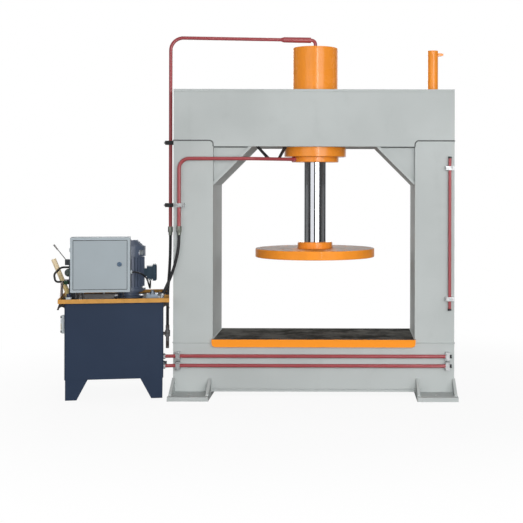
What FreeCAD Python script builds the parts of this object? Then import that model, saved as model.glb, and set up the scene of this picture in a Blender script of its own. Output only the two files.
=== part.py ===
import FreeCAD, Part
import math
import os
import re
import Sketcher

# A gantry hydraulic press with its power unit. Millimetres, +Z up, the camera side is -Y.
# The origin is on the floor, at the middle of the four anchor holes in the feet.

os.makedirs("parts", exist_ok=True)
doc = FreeCAD.newDocument("HydraulicPress")
sheet = doc.addObject("Spreadsheet::Sheet", "Sizes")

# Driving dimensions: every value can be changed by itself.
SIZES = {
    # welded frame
    "frame_width": 2060, "frame_depth": 570, "column_width": 290, "plate_wall": 22,
    "lower_beam_height": 358, "bed_drop": 29, "column_height": 1482,
    "beam_drop": 43, "upper_beam_height": 377, "drain_radius": 14,
    "foot_width": 294, "foot_length": 1010, "foot_thickness": 30,
    "rib_height": 100, "rib_length": 170, "rib_thickness": 20, "rib_inset": 14, "rib_nose": 12,
    "anchor_spacing_x": 1786, "anchor_spacing_y": 820, "anchor_radius": 14,
    "gusset_leg": 285, "gusset_plate": 20, "gusset_web": 16, "gusset_strip_setback": 24,
    "gusset_web_setback": 50,
    "bed_thickness": 56, "bed_overhang": 30, "bed_side_gap": 2, "lip_reach": 5, "lip_round": 30,
    # hoist post on the beam
    "post_radius": 39, "post_wall": 5, "post_height": 316, "post_x": 892,
    "post_lug_length": 40, "post_lug_height": 30, "post_lug_drop": 14, "post_lug_width": 26,
    "post_lug_taper": 8, "post_foot_radius": 56, "post_foot_thickness": 12,
    # cylinder
    "barrel_radius": 170, "cylinder_bore": 125, "barrel_rise": 333, "cap_thickness": 40,
    "cap_spigot": 15, "cap_round": 3, "beam_bore_gap": 1, "fit_gap": 0.05, "bolt_room": 3,
    "flange_radius": 234, "flange_thickness": 71, "flange_bevel": 4, "flange_bolt_ring": 206,
    "flange_bolt_radius": 17, "flange_bolt_head": 18, "flange_bolt_count": 12, "gland_turn": 35,
    "gland_radius": 178, "gland_thickness": 40, "gland_bevel": 3, "gland_spigot": 44,
    "gland_bolt_ring": 140, "gland_bolt_radius": 9, "gland_bolt_head": 10, "gland_bolt_count": 12,
    "wiper_height": 8, "wiper_radius": 92, "wiper_gap": 0.3,
    # ram
    "rod_radius": 83, "rod_neck": 55, "rod_foot": 50, "socket_floor": 10, "stroke_left": 60,
    "piston_thickness": 80, "piston_recess": 34, "piston_recess_radius": 94, "neck_drop": 3,
    "seal_groove": 12, "seal_depth": 12, "nut_radius": 84, "nut_height": 30,
    "platen_radius": 450, "platen_thickness": 65, "platen_round": 6, "daylight": 587,
    "lifting_hole_radius": 15, "lifting_hole_ring": 330, "lifting_hole_depth": 36,
    "lifting_hole_count": 4, "hub_radius": 132, "hub_height": 48, "hub_bevel": 5,
    "hub_bolt_ring": 108, "hub_bolt_radius": 8, "hub_bolt_head": 12, "hub_bolt_count": 8,
    # rigid pipes
    "pipe_radius": 13, "pipe_bend": 75, "top_bend": 30, "top_corner_bend": 95, "top_rise": 62,
    "top_port": 16, "port_radius": 25, "port_nut": 20, "top_pipe_x": 1076, "top_pipe_y": 130,
    "top_pipe_end": 1232, "sleeve_radius": 21, "sleeve_length": 225, "sleeve_start": 34,
    "sleeve_taper": 22, "sleeve_edge": 1.5,
    "gland_pipe_x": 984, "gland_pipe_gap": 30, "gland_pipe_end": 1242, "gland_port": 26,
    "gland_port_radius": 19, "gland_port_wall": 2, "gland_plan_bend": 120,
    "hanger_bar": 22, "hanger_plate": 5, "hanger_reach": 512, "hanger_inner": 244,
    "hanger_flat": 94, "hanger_middle": 357,
    "hose_end_length": 64, "hose_end_radius": 19, "hose_end_wall": 3,
    "front_pipe_low": 224, "front_pipe_pitch": 70, "front_pipe_gap": 26, "front_pipe_right": 994,
    "front_pipe_bend": 150, "tank_bend_gap": 76, "union_radius": 21, "union_length": 14,
    "side_pipe_x": 993, "side_pipe_radius": 11, "side_pipe_low": 643, "side_pipe_drop": 130,
    "plug_radius": 13, "plug_length": 14,
    "clamp_height": 30, "clamp_width": 62, "clamp_cover": 8, "top_clamp_cover": 24, "clamp_gap": 0.1,
    "clamp_bolt_radius": 7, "clamp_bolt_head": 8, "clamp_bolt_pitch": 46,
    "top_clamp_drop": 13, "top_clamp_low": 1392, "gland_clamp": 1395, "gland_clamp_shift": 8,
    "side_clamp_drop": 200, "side_clamp_low": 714, "front_clamp_left": 990, "front_clamp_right": 978,
    # power unit: its place, tank and tray
    "unit_gap": 55.6, "unit_ahead": 208, "unit_turn": 9.5,
    "tank_length": 698, "tank_depth": 600, "tank_height": 551, "tank_wall": 5, "tank_round": 14,
    "leg_height": 146, "leg_top": 158, "leg_foot": 80, "leg_wall": 8, "leg_inset": 6,
    "tray_overhang": 42, "tray_plate": 6, "tray_height": 30, "tray_wall": 4,
    "notch_start": 8, "notch_width": 48, "guard_low_v": 60, "guard_high_v": 118, "guard_back_v": 300,
    "guard_height": 127, "guard_plate": 3, "tray_bolt_radius": 8, "tray_bolt_head": 8,
    "tray_bolt_inset": 14,
    "gauge_height": 131, "gauge_width": 26, "gauge_depth": 24, "gauge_low": 473, "gauge_v": 60,
    "gauge_rim": 6, "gauge_end": 22, "gauge_wall": 5, "gauge_glass_gap": 2,
    "lug_plate": 12, "left_lug_reach": 56, "right_lug_reach": 45, "lug_drop": 54, "lug_top_gap": 2,
    "lug_inset": 50, "drain_height": 175, "drain_boss_radius": 20, "drain_boss_length": 12,
    "drain_head_radius": 16, "drain_head_length": 14,
    "return_height": 440, "return_v": 213, "return_reach": 30, "return_ball_radius": 19,
    "return_ball_height": 44, "return_neck": 38, "return_tail": 88, "return_tail_radius": 12,
    # power unit: motor and pump
    "motor_u": 441, "motor_v": 336, "motor_radius": 104, "motor_length": 245,
    "fin_height": 13, "fin_width": 5, "fin_count": 28, "fin_margin": 14, "fin_root": 4,
    "motor_flange_radius": 125, "motor_flange_thickness": 16, "bell_radius": 92, "bell_height": 52,
    "bell_bore": 42, "bell_rim": 14, "bell_foot": 12, "bell_slope": 4,
    "cowl_radius": 124, "cowl_length": 120, "cowl_wall": 3, "cowl_slots": 20, "cowl_seat": 6,
    "cowl_shoulder_height": 43, "cowl_shoulder_width": 53, "cowl_eye": 12, "cowl_gap": 0.1,
    "cowl_slot_width": 7, "cowl_slot_inner": 30, "cowl_slot_outer": 66,
    "shaft_radius": 19, "shaft_reach": 24, "shaft_top": 10, "fan_radius": 98, "fan_blades": 7,
    "fan_blade_height": 46, "fan_blade_plate": 4, "fan_hub_radius": 30, "fan_lift": 16,
    "coupling_radius": 36, "coupling_height": 34, "coupling_lift": 14,
    "pump_radius": 62, "pump_height": 150, "pump_flange_radius": 80, "pump_flange_thickness": 14,
    "pump_bore_depth": 60, "pump_hole_gap": 1, "suction_radius": 17, "suction_length": 60,
    "strainer_radius": 38, "strainer_height": 120,
    "terminal_width": 74, "terminal_depth": 104, "terminal_height": 96, "terminal_low": 839,
    "terminal_lid": 30, "terminal_rim": 13, "terminal_bevel": 9, "terminal_neck": 16,
    "terminal_neck_width": 68, "terminal_neck_inset": 18, "terminal_seat_gap": 0.3,
    # power unit: blocks and fittings
    "block_u": 577, "block_v": 30, "block_length": 82, "block_width": 120, "block_height": 45,
    "cartridge_radius": 17, "cartridge_height": 12, "cartridge_cap": 12,
    "outlet_ball_radius": 17, "outlet_reach": 24, "outlet_lean": 25, "outlet_arm": 30,
    "outlet_height": 20, "outlet_v": 38, "outlet_stub_radius": 12,
    "valve_u": 31, "valve_v": 318, "valve_width": 46, "valve_depth": 74, "valve_height": 285,
    "head_reach": 29, "head_height": 40, "pivot_u": 2, "pivot_drop": 26,
    "lever_length": 170, "lever_radius": 3.3, "lever_lean": 38, "lever_hub": 13, "lever_gap": 0.3,
    "lever_pin": 4, "lever_pin_reach": 14, "lever_slot": 16, "slot_room": 4,
    "grip_radius": 6, "grip_length": 44, "grip_end": 4,
    "dial_u": 9, "dial_height": 192, "dial_radius": 29, "dial_depth": 24, "dial_neck": 14,
    "dial_neck_radius": 9, "dial_boss": 28,
    "knob_u": -11, "knob_height": 119, "knob_radius": 15.5, "knob_length": 24, "knob_stem": 10,
    "knob_stem_radius": 8, "knob_arm": 32, "knob_arm_reach": 16, "flute_radius": 4, "flute_count": 6,
    "line_radius": 7.5, "line_high": 227, "line_low": 119, "line_turn_u": -50, "line_far_u": -103,
    "line_far_height": 177, "line_back_u": -92, "line_high_bend": 45, "line_far_bend": 36,
    "line_low_bend": 24,
    "tube_radius": 18, "tube_u": -2, "tube_v": 380, "tube_length": 290, "tube_lean": 22.4,
    "tube_foot": 44, "tube_foot_height": 52, "tube_start": 16,
    "filler_u": 25, "filler_v": 56, "filler_radius": 10, "filler_height": 30, "filler_wall": 3,
    "filler_flange_rim": 8, "filler_flange_height": 6, "filler_cap_radius": 14.5,
    "filler_cap_height": 36, "filler_cap_cover": 12, "filler_gap": 0.3,
    # cabinet
    "cabinet_u": 39, "cabinet_v": 10, "cabinet_width": 420, "cabinet_depth": 176,
    "cabinet_height": 393, "cabinet_wall": 3, "cabinet_rim": 18, "cabinet_lip": 10,
    "door_gap": 4, "door_depth": 14, "door_sheet": 2,
    "hinge_radius": 3, "hinge_u": 7, "hinge_v": 6.5, "hinge_reach": 6,
    "stand_height": 67, "stand_width": 40, "stand_inset": 46, "stand_setback": 10, "stand_wall": 5,
    "lock_radius": 17, "lock_depth": 5, "lock_u": 385, "lock_height": 201, "lock_rim": 3,
    "lock_barrel": 10, "lock_slot_width": 3, "lock_slot_length": 18,
    "back_plate_inset": 26, "back_plate": 3, "back_plate_standoff": 12, "back_post_radius": 6,
    "back_post_inset": 14, "device_depth": 74,
    # cable glands and free hoses
    "gland_nut": 13, "gland_length": 12, "left_gland_v": 90, "left_gland_height": 301,
    "cable_exit_v": 120, "cable_exit_height": 135, "cable_entry_u": 26, "cable_entry_v": 42,
    "cable_radius": 6, "cable_turn": 54, "hose_radius": 11, "hose_lead": 62,
}

for row, (alias, size) in enumerate(SIZES.items(), start=1):
    sheet.set(f"A{row}", alias)
    sheet.set(f"B{row}", str(size))
    sheet.setAlias(f"B{row}", alias)
doc.recompute()

# Heights of the frame.
LOWER_TOP = "(foot_thickness + lower_beam_height)"
BED_SEAT = f"({LOWER_TOP} - bed_drop)"
BED_TOP = f"({BED_SEAT} + bed_thickness)"
COLUMN_TOP = f"({LOWER_TOP} + column_height)"
BEAM_UNDER = f"({COLUMN_TOP} - beam_drop)"
BEAM_TOP = f"({COLUMN_TOP} + upper_beam_height)"
INSIDE_X = "(frame_width / 2 - column_width)"
SIDE_X = "(frame_width / 2)"
FRONT_Y = "(-frame_depth / 2)"
# Heights of the cylinder and the ram.
FLANGE_UNDER = f"({BEAM_UNDER} - flange_thickness)"
GLAND_UNDER = f"({FLANGE_UNDER} - gland_thickness)"
GLAND_TOP = f"({FLANGE_UNDER} + gland_spigot)"
CAP_TOP = f"({BEAM_TOP} + barrel_rise)"
BARREL_TOP = f"({CAP_TOP} - cap_thickness)"
PLATEN_UNDER = f"({BED_TOP} + daylight)"
PLATEN_TOP = f"({PLATEN_UNDER} + platen_thickness)"
PISTON_UNDER = f"({GLAND_TOP} + stroke_left)"
GLAND_PORT_Z = f"({FLANGE_UNDER} - gland_thickness / 2)"
# Heights of the power unit, in its own turned frame of u (along), v (deep) and z.
TANK_TOP = "(leg_height + tank_height)"
TRAY_TOP = f"({TANK_TOP} + tray_plate)"
FLANGE_Z = f"({TRAY_TOP} + bell_height)"
MOTOR_Z = f"({FLANGE_Z} + motor_flange_thickness)"
COWL_Z = f"({MOTOR_Z} + motor_length)"
CABINET_LOW = f"({TRAY_TOP} + stand_height)"
# Places: the pipe in front of the frame, the power unit's corner, and two spots in the unit's frame.
GLAND_PIPE_Y = "(frame_depth / 2 + gland_pipe_gap)"
UNIT_X = f"(-{SIDE_X} - unit_gap - tank_length * cos(unit_turn))"
UNIT_Y = f"({FRONT_Y} - unit_ahead)"
TERMINAL_U = "(motor_u + motor_radius + fin_height + terminal_neck)"
TERMINAL_V = "(motor_v - terminal_depth / 2)"
OUTLET = ("block_u + block_length + outlet_reach", "block_v + outlet_v", f"{TRAY_TOP} + outlet_height")

NODES = []
AXIS_TURNS = {
    "x": FreeCAD.Rotation(FreeCAD.Vector(0, 1, 0), 90),
    "y": FreeCAD.Rotation(FreeCAD.Vector(1, 0, 0), -90),
    "z": FreeCAD.Rotation(),
}


def cells(expression):
    """Give an expression with the sheet's name in front of each of its values."""
    return re.sub(r"[a-z][a-z_]*", lambda word: f"Sizes.{word[0]}" if word[0] in SIZES else word[0],
                  str(expression))


def value(expression):
    """Work an expression out, as a plain number."""
    result = sheet.evalExpression(str(expression))
    return float(getattr(result, "Value", result))


def bind(part, prop, expression):
    part.setExpression(prop, cells(expression))


def move(part, place, axis="z"):
    """Put a part at place (x, y, z), its own Z along axis."""
    part.Placement = FreeCAD.Placement(FreeCAD.Vector(), AXIS_TURNS[axis])
    for letter, expression in zip("xyz", place):
        bind(part, f"Placement.Base.{letter}", expression)
    return part


def turn(part, angle, axis=(0, 0, 1)):
    """Turn a part about an axis through its own place."""
    part.Placement.Rotation = FreeCAD.Rotation(FreeCAD.Vector(*axis), 1)
    bind(part, "Placement.Rotation.Angle", angle)
    return part


def box(name, corner, size):
    """A block from its low corner."""
    part = doc.addObject("Part::Box", name)
    for prop, expression in zip(("Length", "Width", "Height"), size):
        bind(part, prop, expression)
    return move(part, corner)


def cylinder(name, foot, radius, length, axis="z"):
    """A round bar from the middle of its foot, along an axis."""
    part = doc.addObject("Part::Cylinder", name)
    bind(part, "Radius", radius)
    bind(part, "Height", length)
    return move(part, foot, axis)


def hexagon(name, foot, radius, length, axis="z"):
    """A six-sided bar, as a bolt head or a nut, from the middle of its foot."""
    part = doc.addObject("Part::Prism", name)
    part.Polygon = 6
    bind(part, "Circumradius", radius)
    bind(part, "Height", length)
    return move(part, foot, axis)


def cone(name, foot, lower, upper, length, axis="z"):
    """A tapered round piece."""
    part = doc.addObject("Part::Cone", name)
    bind(part, "Radius1", lower)
    bind(part, "Radius2", upper)
    bind(part, "Height", length)
    return move(part, foot, axis)


def fuse(name, parts):
    part = doc.addObject("Part::MultiFuse", name)
    part.Shapes = parts
    part.Refine = True
    return part


def cut(name, base, tools):
    """A part with other shapes taken out of it."""
    part = doc.addObject("Part::Cut", name)
    part.Base = base
    part.Tool = tools[0] if len(tools) == 1 else fuse(f"{name}_tools", tools)
    return part


def together(name, parts):
    part = doc.addObject("Part::Compound", name)
    part.Links = parts
    return part


def node(label, part, unit=False):
    """Name a sub-part. A piece of the power unit is turned and moved with the unit."""
    if unit:
        if part.TypeId in ("Part::Box", "Part::Cylinder", "Part::Prism", "Part::Cone"):
            part = together(f"{label}_placed", [part])
        turn(part, "unit_turn")
        bind(part, "Placement.Base.x", UNIT_X)
        bind(part, "Placement.Base.y", UNIT_Y)
    part.Label = label
    NODES.append(part)
    return part


def ring_places(centre, ring, count, first=0.0):
    """Places spaced evenly on a level circle."""
    places = []
    for number in range(int(value(count))):
        angle = f"({first} + {number} * 360 / {count})"
        places.append((f"{centre[0]} + {ring} * cos({angle})", f"{centre[1]} + {ring} * sin({angle})",
                       centre[2]))
    return places


def new_body(name):
    return doc.addObject("PartDesign::Body", name)


def sketch(body, name, role):
    """A sketch on one of the body's own planes."""
    part = body.newObject("Sketcher::SketchObject", name)
    plane = [feature for feature in body.Origin.OriginFeatures if feature.Role == role][0]
    part.AttachmentSupport = [(plane, "")]
    part.MapMode = "FlatFace"
    return part


def hold(part, kind, *where, size):
    """Add a measured constraint, bound to the sheet."""
    index = part.addConstraint(Sketcher.Constraint(kind, *where, value(size)))
    bind(part, f"Constraints[{index}]", size)


def outline(body, name, role, corners):
    """A closed outline of straight sides through corners, each held from the origin."""
    part = sketch(body, name, role)
    points = [FreeCAD.Vector(value(u), value(v), 0) for u, v in corners]
    for number, point in enumerate(points):
        part.addGeometry(Part.LineSegment(point, points[(number + 1) % len(points)]))
    for number in range(len(points)):
        following = (number + 1) % len(points)
        part.addConstraint(Sketcher.Constraint("Coincident", number, 2, following, 1))
    for number, (u, v) in enumerate(corners):
        hold(part, "DistanceX", -1, 1, number, 1, size=u)
        hold(part, "DistanceY", -1, 1, number, 1, size=v)
    return part


def circle(body, name, role, centre, radius):
    part = sketch(body, name, role)
    middle = FreeCAD.Vector(value(centre[0]), value(centre[1]), 0)
    part.addGeometry(Part.Circle(middle, FreeCAD.Vector(0, 0, 1), value(radius)))
    hold(part, "DistanceX", -1, 1, 0, 3, size=centre[0])
    hold(part, "DistanceY", -1, 1, 0, 3, size=centre[1])
    hold(part, "Radius", 0, size=radius)
    return part


def feature(body, kind, name, profile, length=None, middle=True, back=False):
    """A pad or a pocket from a profile; middle makes it reach alike to both sides."""
    part = body.newObject(f"PartDesign::{kind}", name)
    part.Profile = profile
    if length is None:
        part.Type = 1
    else:
        bind(part, "Length", length)
    part.Midplane = middle
    part.Reversed = back
    return part


def padded(name, role, corners, length, middle=True, back=False):
    """A body padded from one outline."""
    body = new_body(name)
    feature(body, "Pad", f"{name}_pad", outline(body, f"{name}_outline", role, corners), length,
            middle, back)
    return body


def revolved(name, corners):
    """A body turned about its own Z from a half outline of (radius, height) corners."""
    body = new_body(name)
    part = body.newObject("PartDesign::Revolution", f"{name}_turned")
    profile = outline(body, f"{name}_outline", "XZ_Plane", corners)
    part.Profile = profile
    part.ReferenceAxis = (profile, ["V_Axis"])
    part.Angle = 360
    return body


def soften(body, kind, name, size, wanted):
    """Round or bevel those edges of the body's last feature that wanted picks."""
    doc.recompute()
    last = body.Tip
    edges = [f"Edge{number}" for number, edge in enumerate(last.Shape.Edges, start=1) if wanted(edge)]
    part = body.newObject(f"PartDesign::{kind}", name)
    part.Base = (last, edges)
    bind(part, "Radius" if kind == "Fillet" else "Size", size)
    return part


def bent_pipe(name, role, profile_role, corners, bends, radius):
    """A body of one round bar along straight runs joined by tangent bends.

    The first corner is the body's origin, where the profile stands square to the first run.
    """
    body = new_body(name)
    path = sketch(body, f"{name}_path", role)
    points = [FreeCAD.Vector(value(u), value(v), 0) for u, v in corners]
    starts = [points[0]]
    ends = []
    arcs = []
    for number, bend in enumerate(bends, start=1):
        into = (points[number] - points[number - 1]).normalize()
        out = (points[number + 1] - points[number]).normalize()
        half_turn = into.getAngle(out) / 2
        reach = value(bend) * math.tan(half_turn)
        enter = points[number] - into * reach
        leave = points[number] + out * reach
        inward = (out - into).normalize()
        peak = points[number] + inward * value(bend) * (1 / math.cos(half_turn) - 1)
        ends.append(enter)
        starts.append(leave)
        arcs.append((enter, peak, leave))
    ends.append(points[-1])
    for start, end in zip(starts, ends):
        path.addGeometry(Part.LineSegment(start, end))
    runs = len(starts)
    for number, (arc, bend) in enumerate(zip(arcs, bends)):
        geometry = path.addGeometry(Part.Arc(*arc))
        first = 1 if (path.Geometry[geometry].StartPoint - arc[0]).Length < 0.001 else 2
        path.addConstraint(Sketcher.Constraint("Tangent", number, 2, geometry, first))
        path.addConstraint(Sketcher.Constraint("Tangent", number + 1, 1, geometry, 3 - first))
        hold(path, "Radius", geometry, size=bend)
    for number in range(1, runs):
        corner = path.addGeometry(Part.Point(points[number]), True)
        hold(path, "DistanceX", -1, 1, corner, 1, size=corners[number][0])
        hold(path, "DistanceY", -1, 1, corner, 1, size=corners[number][1])
        path.addConstraint(Sketcher.Constraint("PointOnObject", corner, 1, number - 1))
        path.addConstraint(Sketcher.Constraint("PointOnObject", corner, 1, number))
    path.addConstraint(Sketcher.Constraint("Coincident", 0, 1, -1, 1))
    hold(path, "DistanceX", -1, 1, runs - 1, 2, size=corners[-1][0])
    hold(path, "DistanceY", -1, 1, runs - 1, 2, size=corners[-1][1])
    edges = []
    for number in range(runs):
        edges.append(f"Edge{number + 1}")
        if number < runs - 1:
            edges.append(f"Edge{runs + number + 1}")
    sweep = body.newObject("PartDesign::AdditivePipe", f"{name}_sweep")
    sweep.Profile = circle(body, f"{name}_section", profile_role, ("0", "0"), radius)
    sweep.Spine = (path, edges)
    return body


def routed_pipe(name, corners, bends, radius):
    """A rigid round pipe through corners in space, with a tangent bend of its own at each."""
    points = [FreeCAD.Vector(*[value(part) for part in corner]) for corner in corners]
    edges = []
    start = points[0]
    for before, corner, after, bend in zip(points, points[1:], points[2:], bends):
        into = (corner - before).normalize()
        out = (after - corner).normalize()
        half_turn = into.getAngle(out) / 2
        enter = corner - into * value(bend) * math.tan(half_turn)
        leave = corner + out * value(bend) * math.tan(half_turn)
        peak = corner + (out - into).normalize() * value(bend) * (1 / math.cos(half_turn) - 1)
        edges.append(Part.LineSegment(start, enter).toShape())
        edges.append(Part.Arc(enter, peak, leave).toShape())
        start = leave
    edges.append(Part.LineSegment(start, points[-1]).toShape())
    section = Part.Wire([Part.Circle(points[0], points[1] - points[0], value(radius)).toShape()])
    part = doc.addObject("Part::Feature", name)
    part.Shape = Part.Wire(edges).makePipeShell([section], True, False)
    part.Placement = FreeCAD.Placement()
    return part


def hose(name, points, radius):
    """A free hose: a round tube on straight runs joined by tangent arcs, as large as fit."""
    corners = [FreeCAD.Vector(*point) for point in points]
    edges = []
    start = corners[0]
    for before, corner, after in zip(corners, corners[1:], corners[2:]):
        into = corner - before
        out = after - corner
        half_turn = into.getAngle(out) / 2
        first = 2 if before == corners[0] else 1
        final = 2 if after == corners[-1] else 1
        reach = 0.45 * min(first * into.Length, final * out.Length)
        bend = reach / math.tan(half_turn)
        enter = corner - into.normalize() * reach
        leave = corner + out.normalize() * reach
        inward = (out - into).normalize()
        peak = corner + inward * bend * (1 / math.cos(half_turn) - 1)
        edges.append(Part.LineSegment(start, enter).toShape())
        edges.append(Part.Arc(enter, peak, leave).toShape())
        start = leave
        print(f"{name} radius {bend:.1f} mm, {bend / (2 * radius):.1f} diameters")
    edges.append(Part.LineSegment(start, corners[-1]).toShape())
    path = Part.Wire(edges)
    section = Part.Wire([Part.Circle(corners[0], corners[1] - corners[0], radius).toShape()])
    part = doc.addObject("Part::Feature", name)
    part.Shape = path.makePipeShell([section], True, False)
    part.Placement = FreeCAD.Placement()
    expected = math.pi * radius ** 2 * path.Length
    share = part.Shape.Volume / expected
    print(f"{name} length {path.Length:.0f} mm, volume {share:.4f} of section x length")
    return node(name, part)


def hollow(name, outer_corner, outer_size, inner_corner, inner_size):
    return cut(name, box(f"{name}_outer", outer_corner, outer_size),
               [box(f"{name}_inner", inner_corner, inner_size)])


def make_frame():
    """The welded frame: two hollow beams, two hollow columns, gussets, feet and the bed plate."""
    lower = new_body("lower_beam")
    feature(lower, "Pad", "lower_beam_solid", outline(lower, "lower_beam_side", "XZ_Plane", [
        (f"-{SIDE_X}", "foot_thickness"), (SIDE_X, "foot_thickness"), (SIDE_X, LOWER_TOP),
        (INSIDE_X, LOWER_TOP), (INSIDE_X, BED_SEAT), (f"-{INSIDE_X}", BED_SEAT),
        (f"-{INSIDE_X}", LOWER_TOP), (f"-{SIDE_X}", LOWER_TOP)]), "frame_depth")
    hollow_low = "foot_thickness + plate_wall"
    hollow_x = f"{SIDE_X} - plate_wall"
    feature(lower, "Pocket", "lower_beam_hollow", outline(lower, "lower_beam_room", "XZ_Plane", [
        (f"-({hollow_x})", hollow_low), (hollow_x, hollow_low),
        (hollow_x, f"{BED_SEAT} - plate_wall"), (f"-({hollow_x})", f"{BED_SEAT} - plate_wall")]),
        "frame_depth - 2 * plate_wall")
    drains = sketch(lower, "lower_beam_drains", "XY_Plane")
    for number, side in enumerate((-1, 0, 1)):
        place = f"{side} * {INSIDE_X} / 2"
        drains.addGeometry(Part.Circle(FreeCAD.Vector(value(place), 0, 0), FreeCAD.Vector(0, 0, 1), 5))
        hold(drains, "DistanceX", -1, 1, number, 3, size=place)
        hold(drains, "DistanceY", -1, 1, number, 3, size="0")
        hold(drains, "Radius", number, size="drain_radius")
    feature(lower, "Pocket", "lower_beam_drained", drains, "foot_thickness + 2 * plate_wall",
            middle=False, back=True)
    node("lower_beam", lower)

    for name, side in (("left_column", -1), ("right_column", 1)):
        low_x = f"-{SIDE_X}" if side < 0 else INSIDE_X
        node(name, hollow(f"{name}_tube", (low_x, FRONT_Y, LOWER_TOP),
                          ("column_width", "frame_depth", "column_height"),
                          (f"{low_x} + plate_wall", f"{FRONT_Y} + plate_wall", LOWER_TOP),
                          ("column_width - 2 * plate_wall", "frame_depth - 2 * plate_wall",
                           "column_height")))

    upper = new_body("upper_beam")
    feature(upper, "Pad", "upper_beam_solid", outline(upper, "upper_beam_side", "XZ_Plane", [
        (f"-{SIDE_X}", COLUMN_TOP), (f"-{INSIDE_X}", COLUMN_TOP), (f"-{INSIDE_X}", BEAM_UNDER),
        (INSIDE_X, BEAM_UNDER), (INSIDE_X, COLUMN_TOP), (SIDE_X, COLUMN_TOP), (SIDE_X, BEAM_TOP),
        (f"-{SIDE_X}", BEAM_TOP)]), "frame_depth")
    room_low = f"{COLUMN_TOP} + plate_wall"
    room_high = f"{BEAM_TOP} - plate_wall"
    feature(upper, "Pocket", "upper_beam_hollow", outline(upper, "upper_beam_room", "XZ_Plane", [
        (f"-({hollow_x})", room_low), (hollow_x, room_low), (hollow_x, room_high),
        (f"-({hollow_x})", room_high)]), "frame_depth - 2 * plate_wall")
    feature(upper, "Pocket", "upper_beam_bored",
            circle(upper, "upper_beam_bore", "XY_Plane", ("0", "0"), "barrel_radius + beam_bore_gap"))
    node("upper_beam", upper)

    for name, side in (("left_gusset", 1), ("right_gusset", -1)):
        body = new_body(name)
        slant = "gusset_plate * sqrt(2)"
        flange = outline(body, f"{name}_strip", "XZ_Plane", [
            ("0", f"{BEAM_UNDER} - gusset_leg"), ("0", f"{BEAM_UNDER} - gusset_leg + {slant}"),
            (f"{side} * (gusset_leg - {slant})", BEAM_UNDER), (f"{side} * gusset_leg", BEAM_UNDER)])
        feature(body, "Pad", f"{name}_flange", flange, "frame_depth - 2 * gusset_strip_setback")
        inner = f"gusset_leg - {slant}"
        triangle = outline(body, f"{name}_triangle", "XZ_Plane", [
            ("0", f"{BEAM_UNDER} - ({inner})"), ("0", BEAM_UNDER), (f"{side} * ({inner})", BEAM_UNDER)])
        bind(triangle, "AttachmentOffset.Base.z", "frame_depth / 2 - gusset_web_setback - gusset_web / 2")
        feature(body, "Pad", f"{name}_web", triangle, "gusset_web")
        move(body, (f"{-side} * {INSIDE_X}", "0", "0"))
        node(name, body)

    feet = []
    for name, side in (("left_foot", -1), ("right_foot", 1)):
        middle = f"{side} * anchor_spacing_x / 2"
        parts = [box(f"{name}_plate", (f"{middle} - foot_width / 2", "-foot_length / 2", "0"),
                     ("foot_width", "foot_length", "foot_thickness"))]
        for front in (-1, 1):
            for edge in (-1, 1):
                rib = padded(f"{name}_rib_{front + 1}_{edge + 1}", "YZ_Plane", [
                    (f"{front} * frame_depth / 2", "foot_thickness"),
                    (f"{front} * (frame_depth / 2 + rib_length)", "foot_thickness"),
                    (f"{front} * (frame_depth / 2 + rib_length)", "foot_thickness + rib_nose"),
                    (f"{front} * frame_depth / 2", "foot_thickness + rib_height")], "rib_thickness")
                move(rib, (f"{middle} + {edge} * (foot_width / 2 - rib_inset)", "0", "0"))
                parts.append(rib)
        holes = [cylinder(f"{name}_anchor_{front + 1}", (middle, f"{front} * anchor_spacing_y / 2", "0"),
                          "anchor_radius", "foot_thickness") for front in (-1, 1)]
        feet.append(cut(f"{name}_drilled", fuse(f"{name}_welded", parts), holes))
    node("feet", together("feet_pair", feet))

    # the bed lies between the columns, and its front and back lips reach past their faces
    inside = f"({INSIDE_X} - bed_side_gap)"
    wide = f"({INSIDE_X} + lip_reach)"
    parts = [box("bed_middle", (f"-{inside}", FRONT_Y, BED_SEAT),
                 (f"2 * {inside}", "frame_depth", "bed_thickness"))]
    for name, y in (("front", FRONT_Y), ("back", "(frame_depth / 2 + bed_overhang)")):
        lip = padded(f"bed_lip_{name}", "XZ_Plane", [
            (f"-{wide}", "0"), (wide, "0"), (wide, "bed_thickness"), (f"-{wide}", "bed_thickness")],
            "bed_overhang", middle=False)
        soften(lip, "Fillet", f"bed_lip_{name}_corners", "lip_round",
               lambda edge: edge.BoundBox.ZMax < 0.01 and edge.BoundBox.XLength < 0.01)
        parts.append(move(lip, ("0", y, BED_SEAT)))
    node("bed_plate", fuse("bed_welded", parts))


def make_post():
    """The round post on the beam that carries a small hoist, with its lug."""
    top = f"{BEAM_TOP} + post_height"
    tube = cut("post_tube", cylinder("post_outer", ("post_x", "0", BEAM_TOP), "post_radius", "post_height"),
               [cylinder("post_inner", ("post_x", "0", BEAM_TOP), "post_radius - post_wall",
                         "post_height - post_wall")])
    foot = cut("post_foot_ring", cylinder("post_foot", ("post_x", "0", BEAM_TOP), "post_foot_radius",
                                          "post_foot_thickness"),
               [cylinder("post_foot_hole", ("post_x", "0", BEAM_TOP), "post_radius - post_wall",
                         "post_foot_thickness")])
    lug = padded("post_lug", "XZ_Plane", [
        ("post_radius - post_wall", "-post_lug_height"),
        ("post_radius + post_lug_length", "post_lug_taper - post_lug_height"),
        ("post_radius + post_lug_length", "-post_lug_taper"), ("post_radius - post_wall", "0")],
        "post_lug_width")
    move(lug, ("post_x", "0", f"{top} - post_lug_drop"))
    trimmed = cut("post_lug_trimmed", lug, [cylinder(
        "post_lug_hole", ("post_x", "0", BEAM_TOP), "post_radius - post_wall / 2", "post_height")])
    node("hoist_post", fuse("post_welded", [tube, foot, trimmed]))


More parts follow.
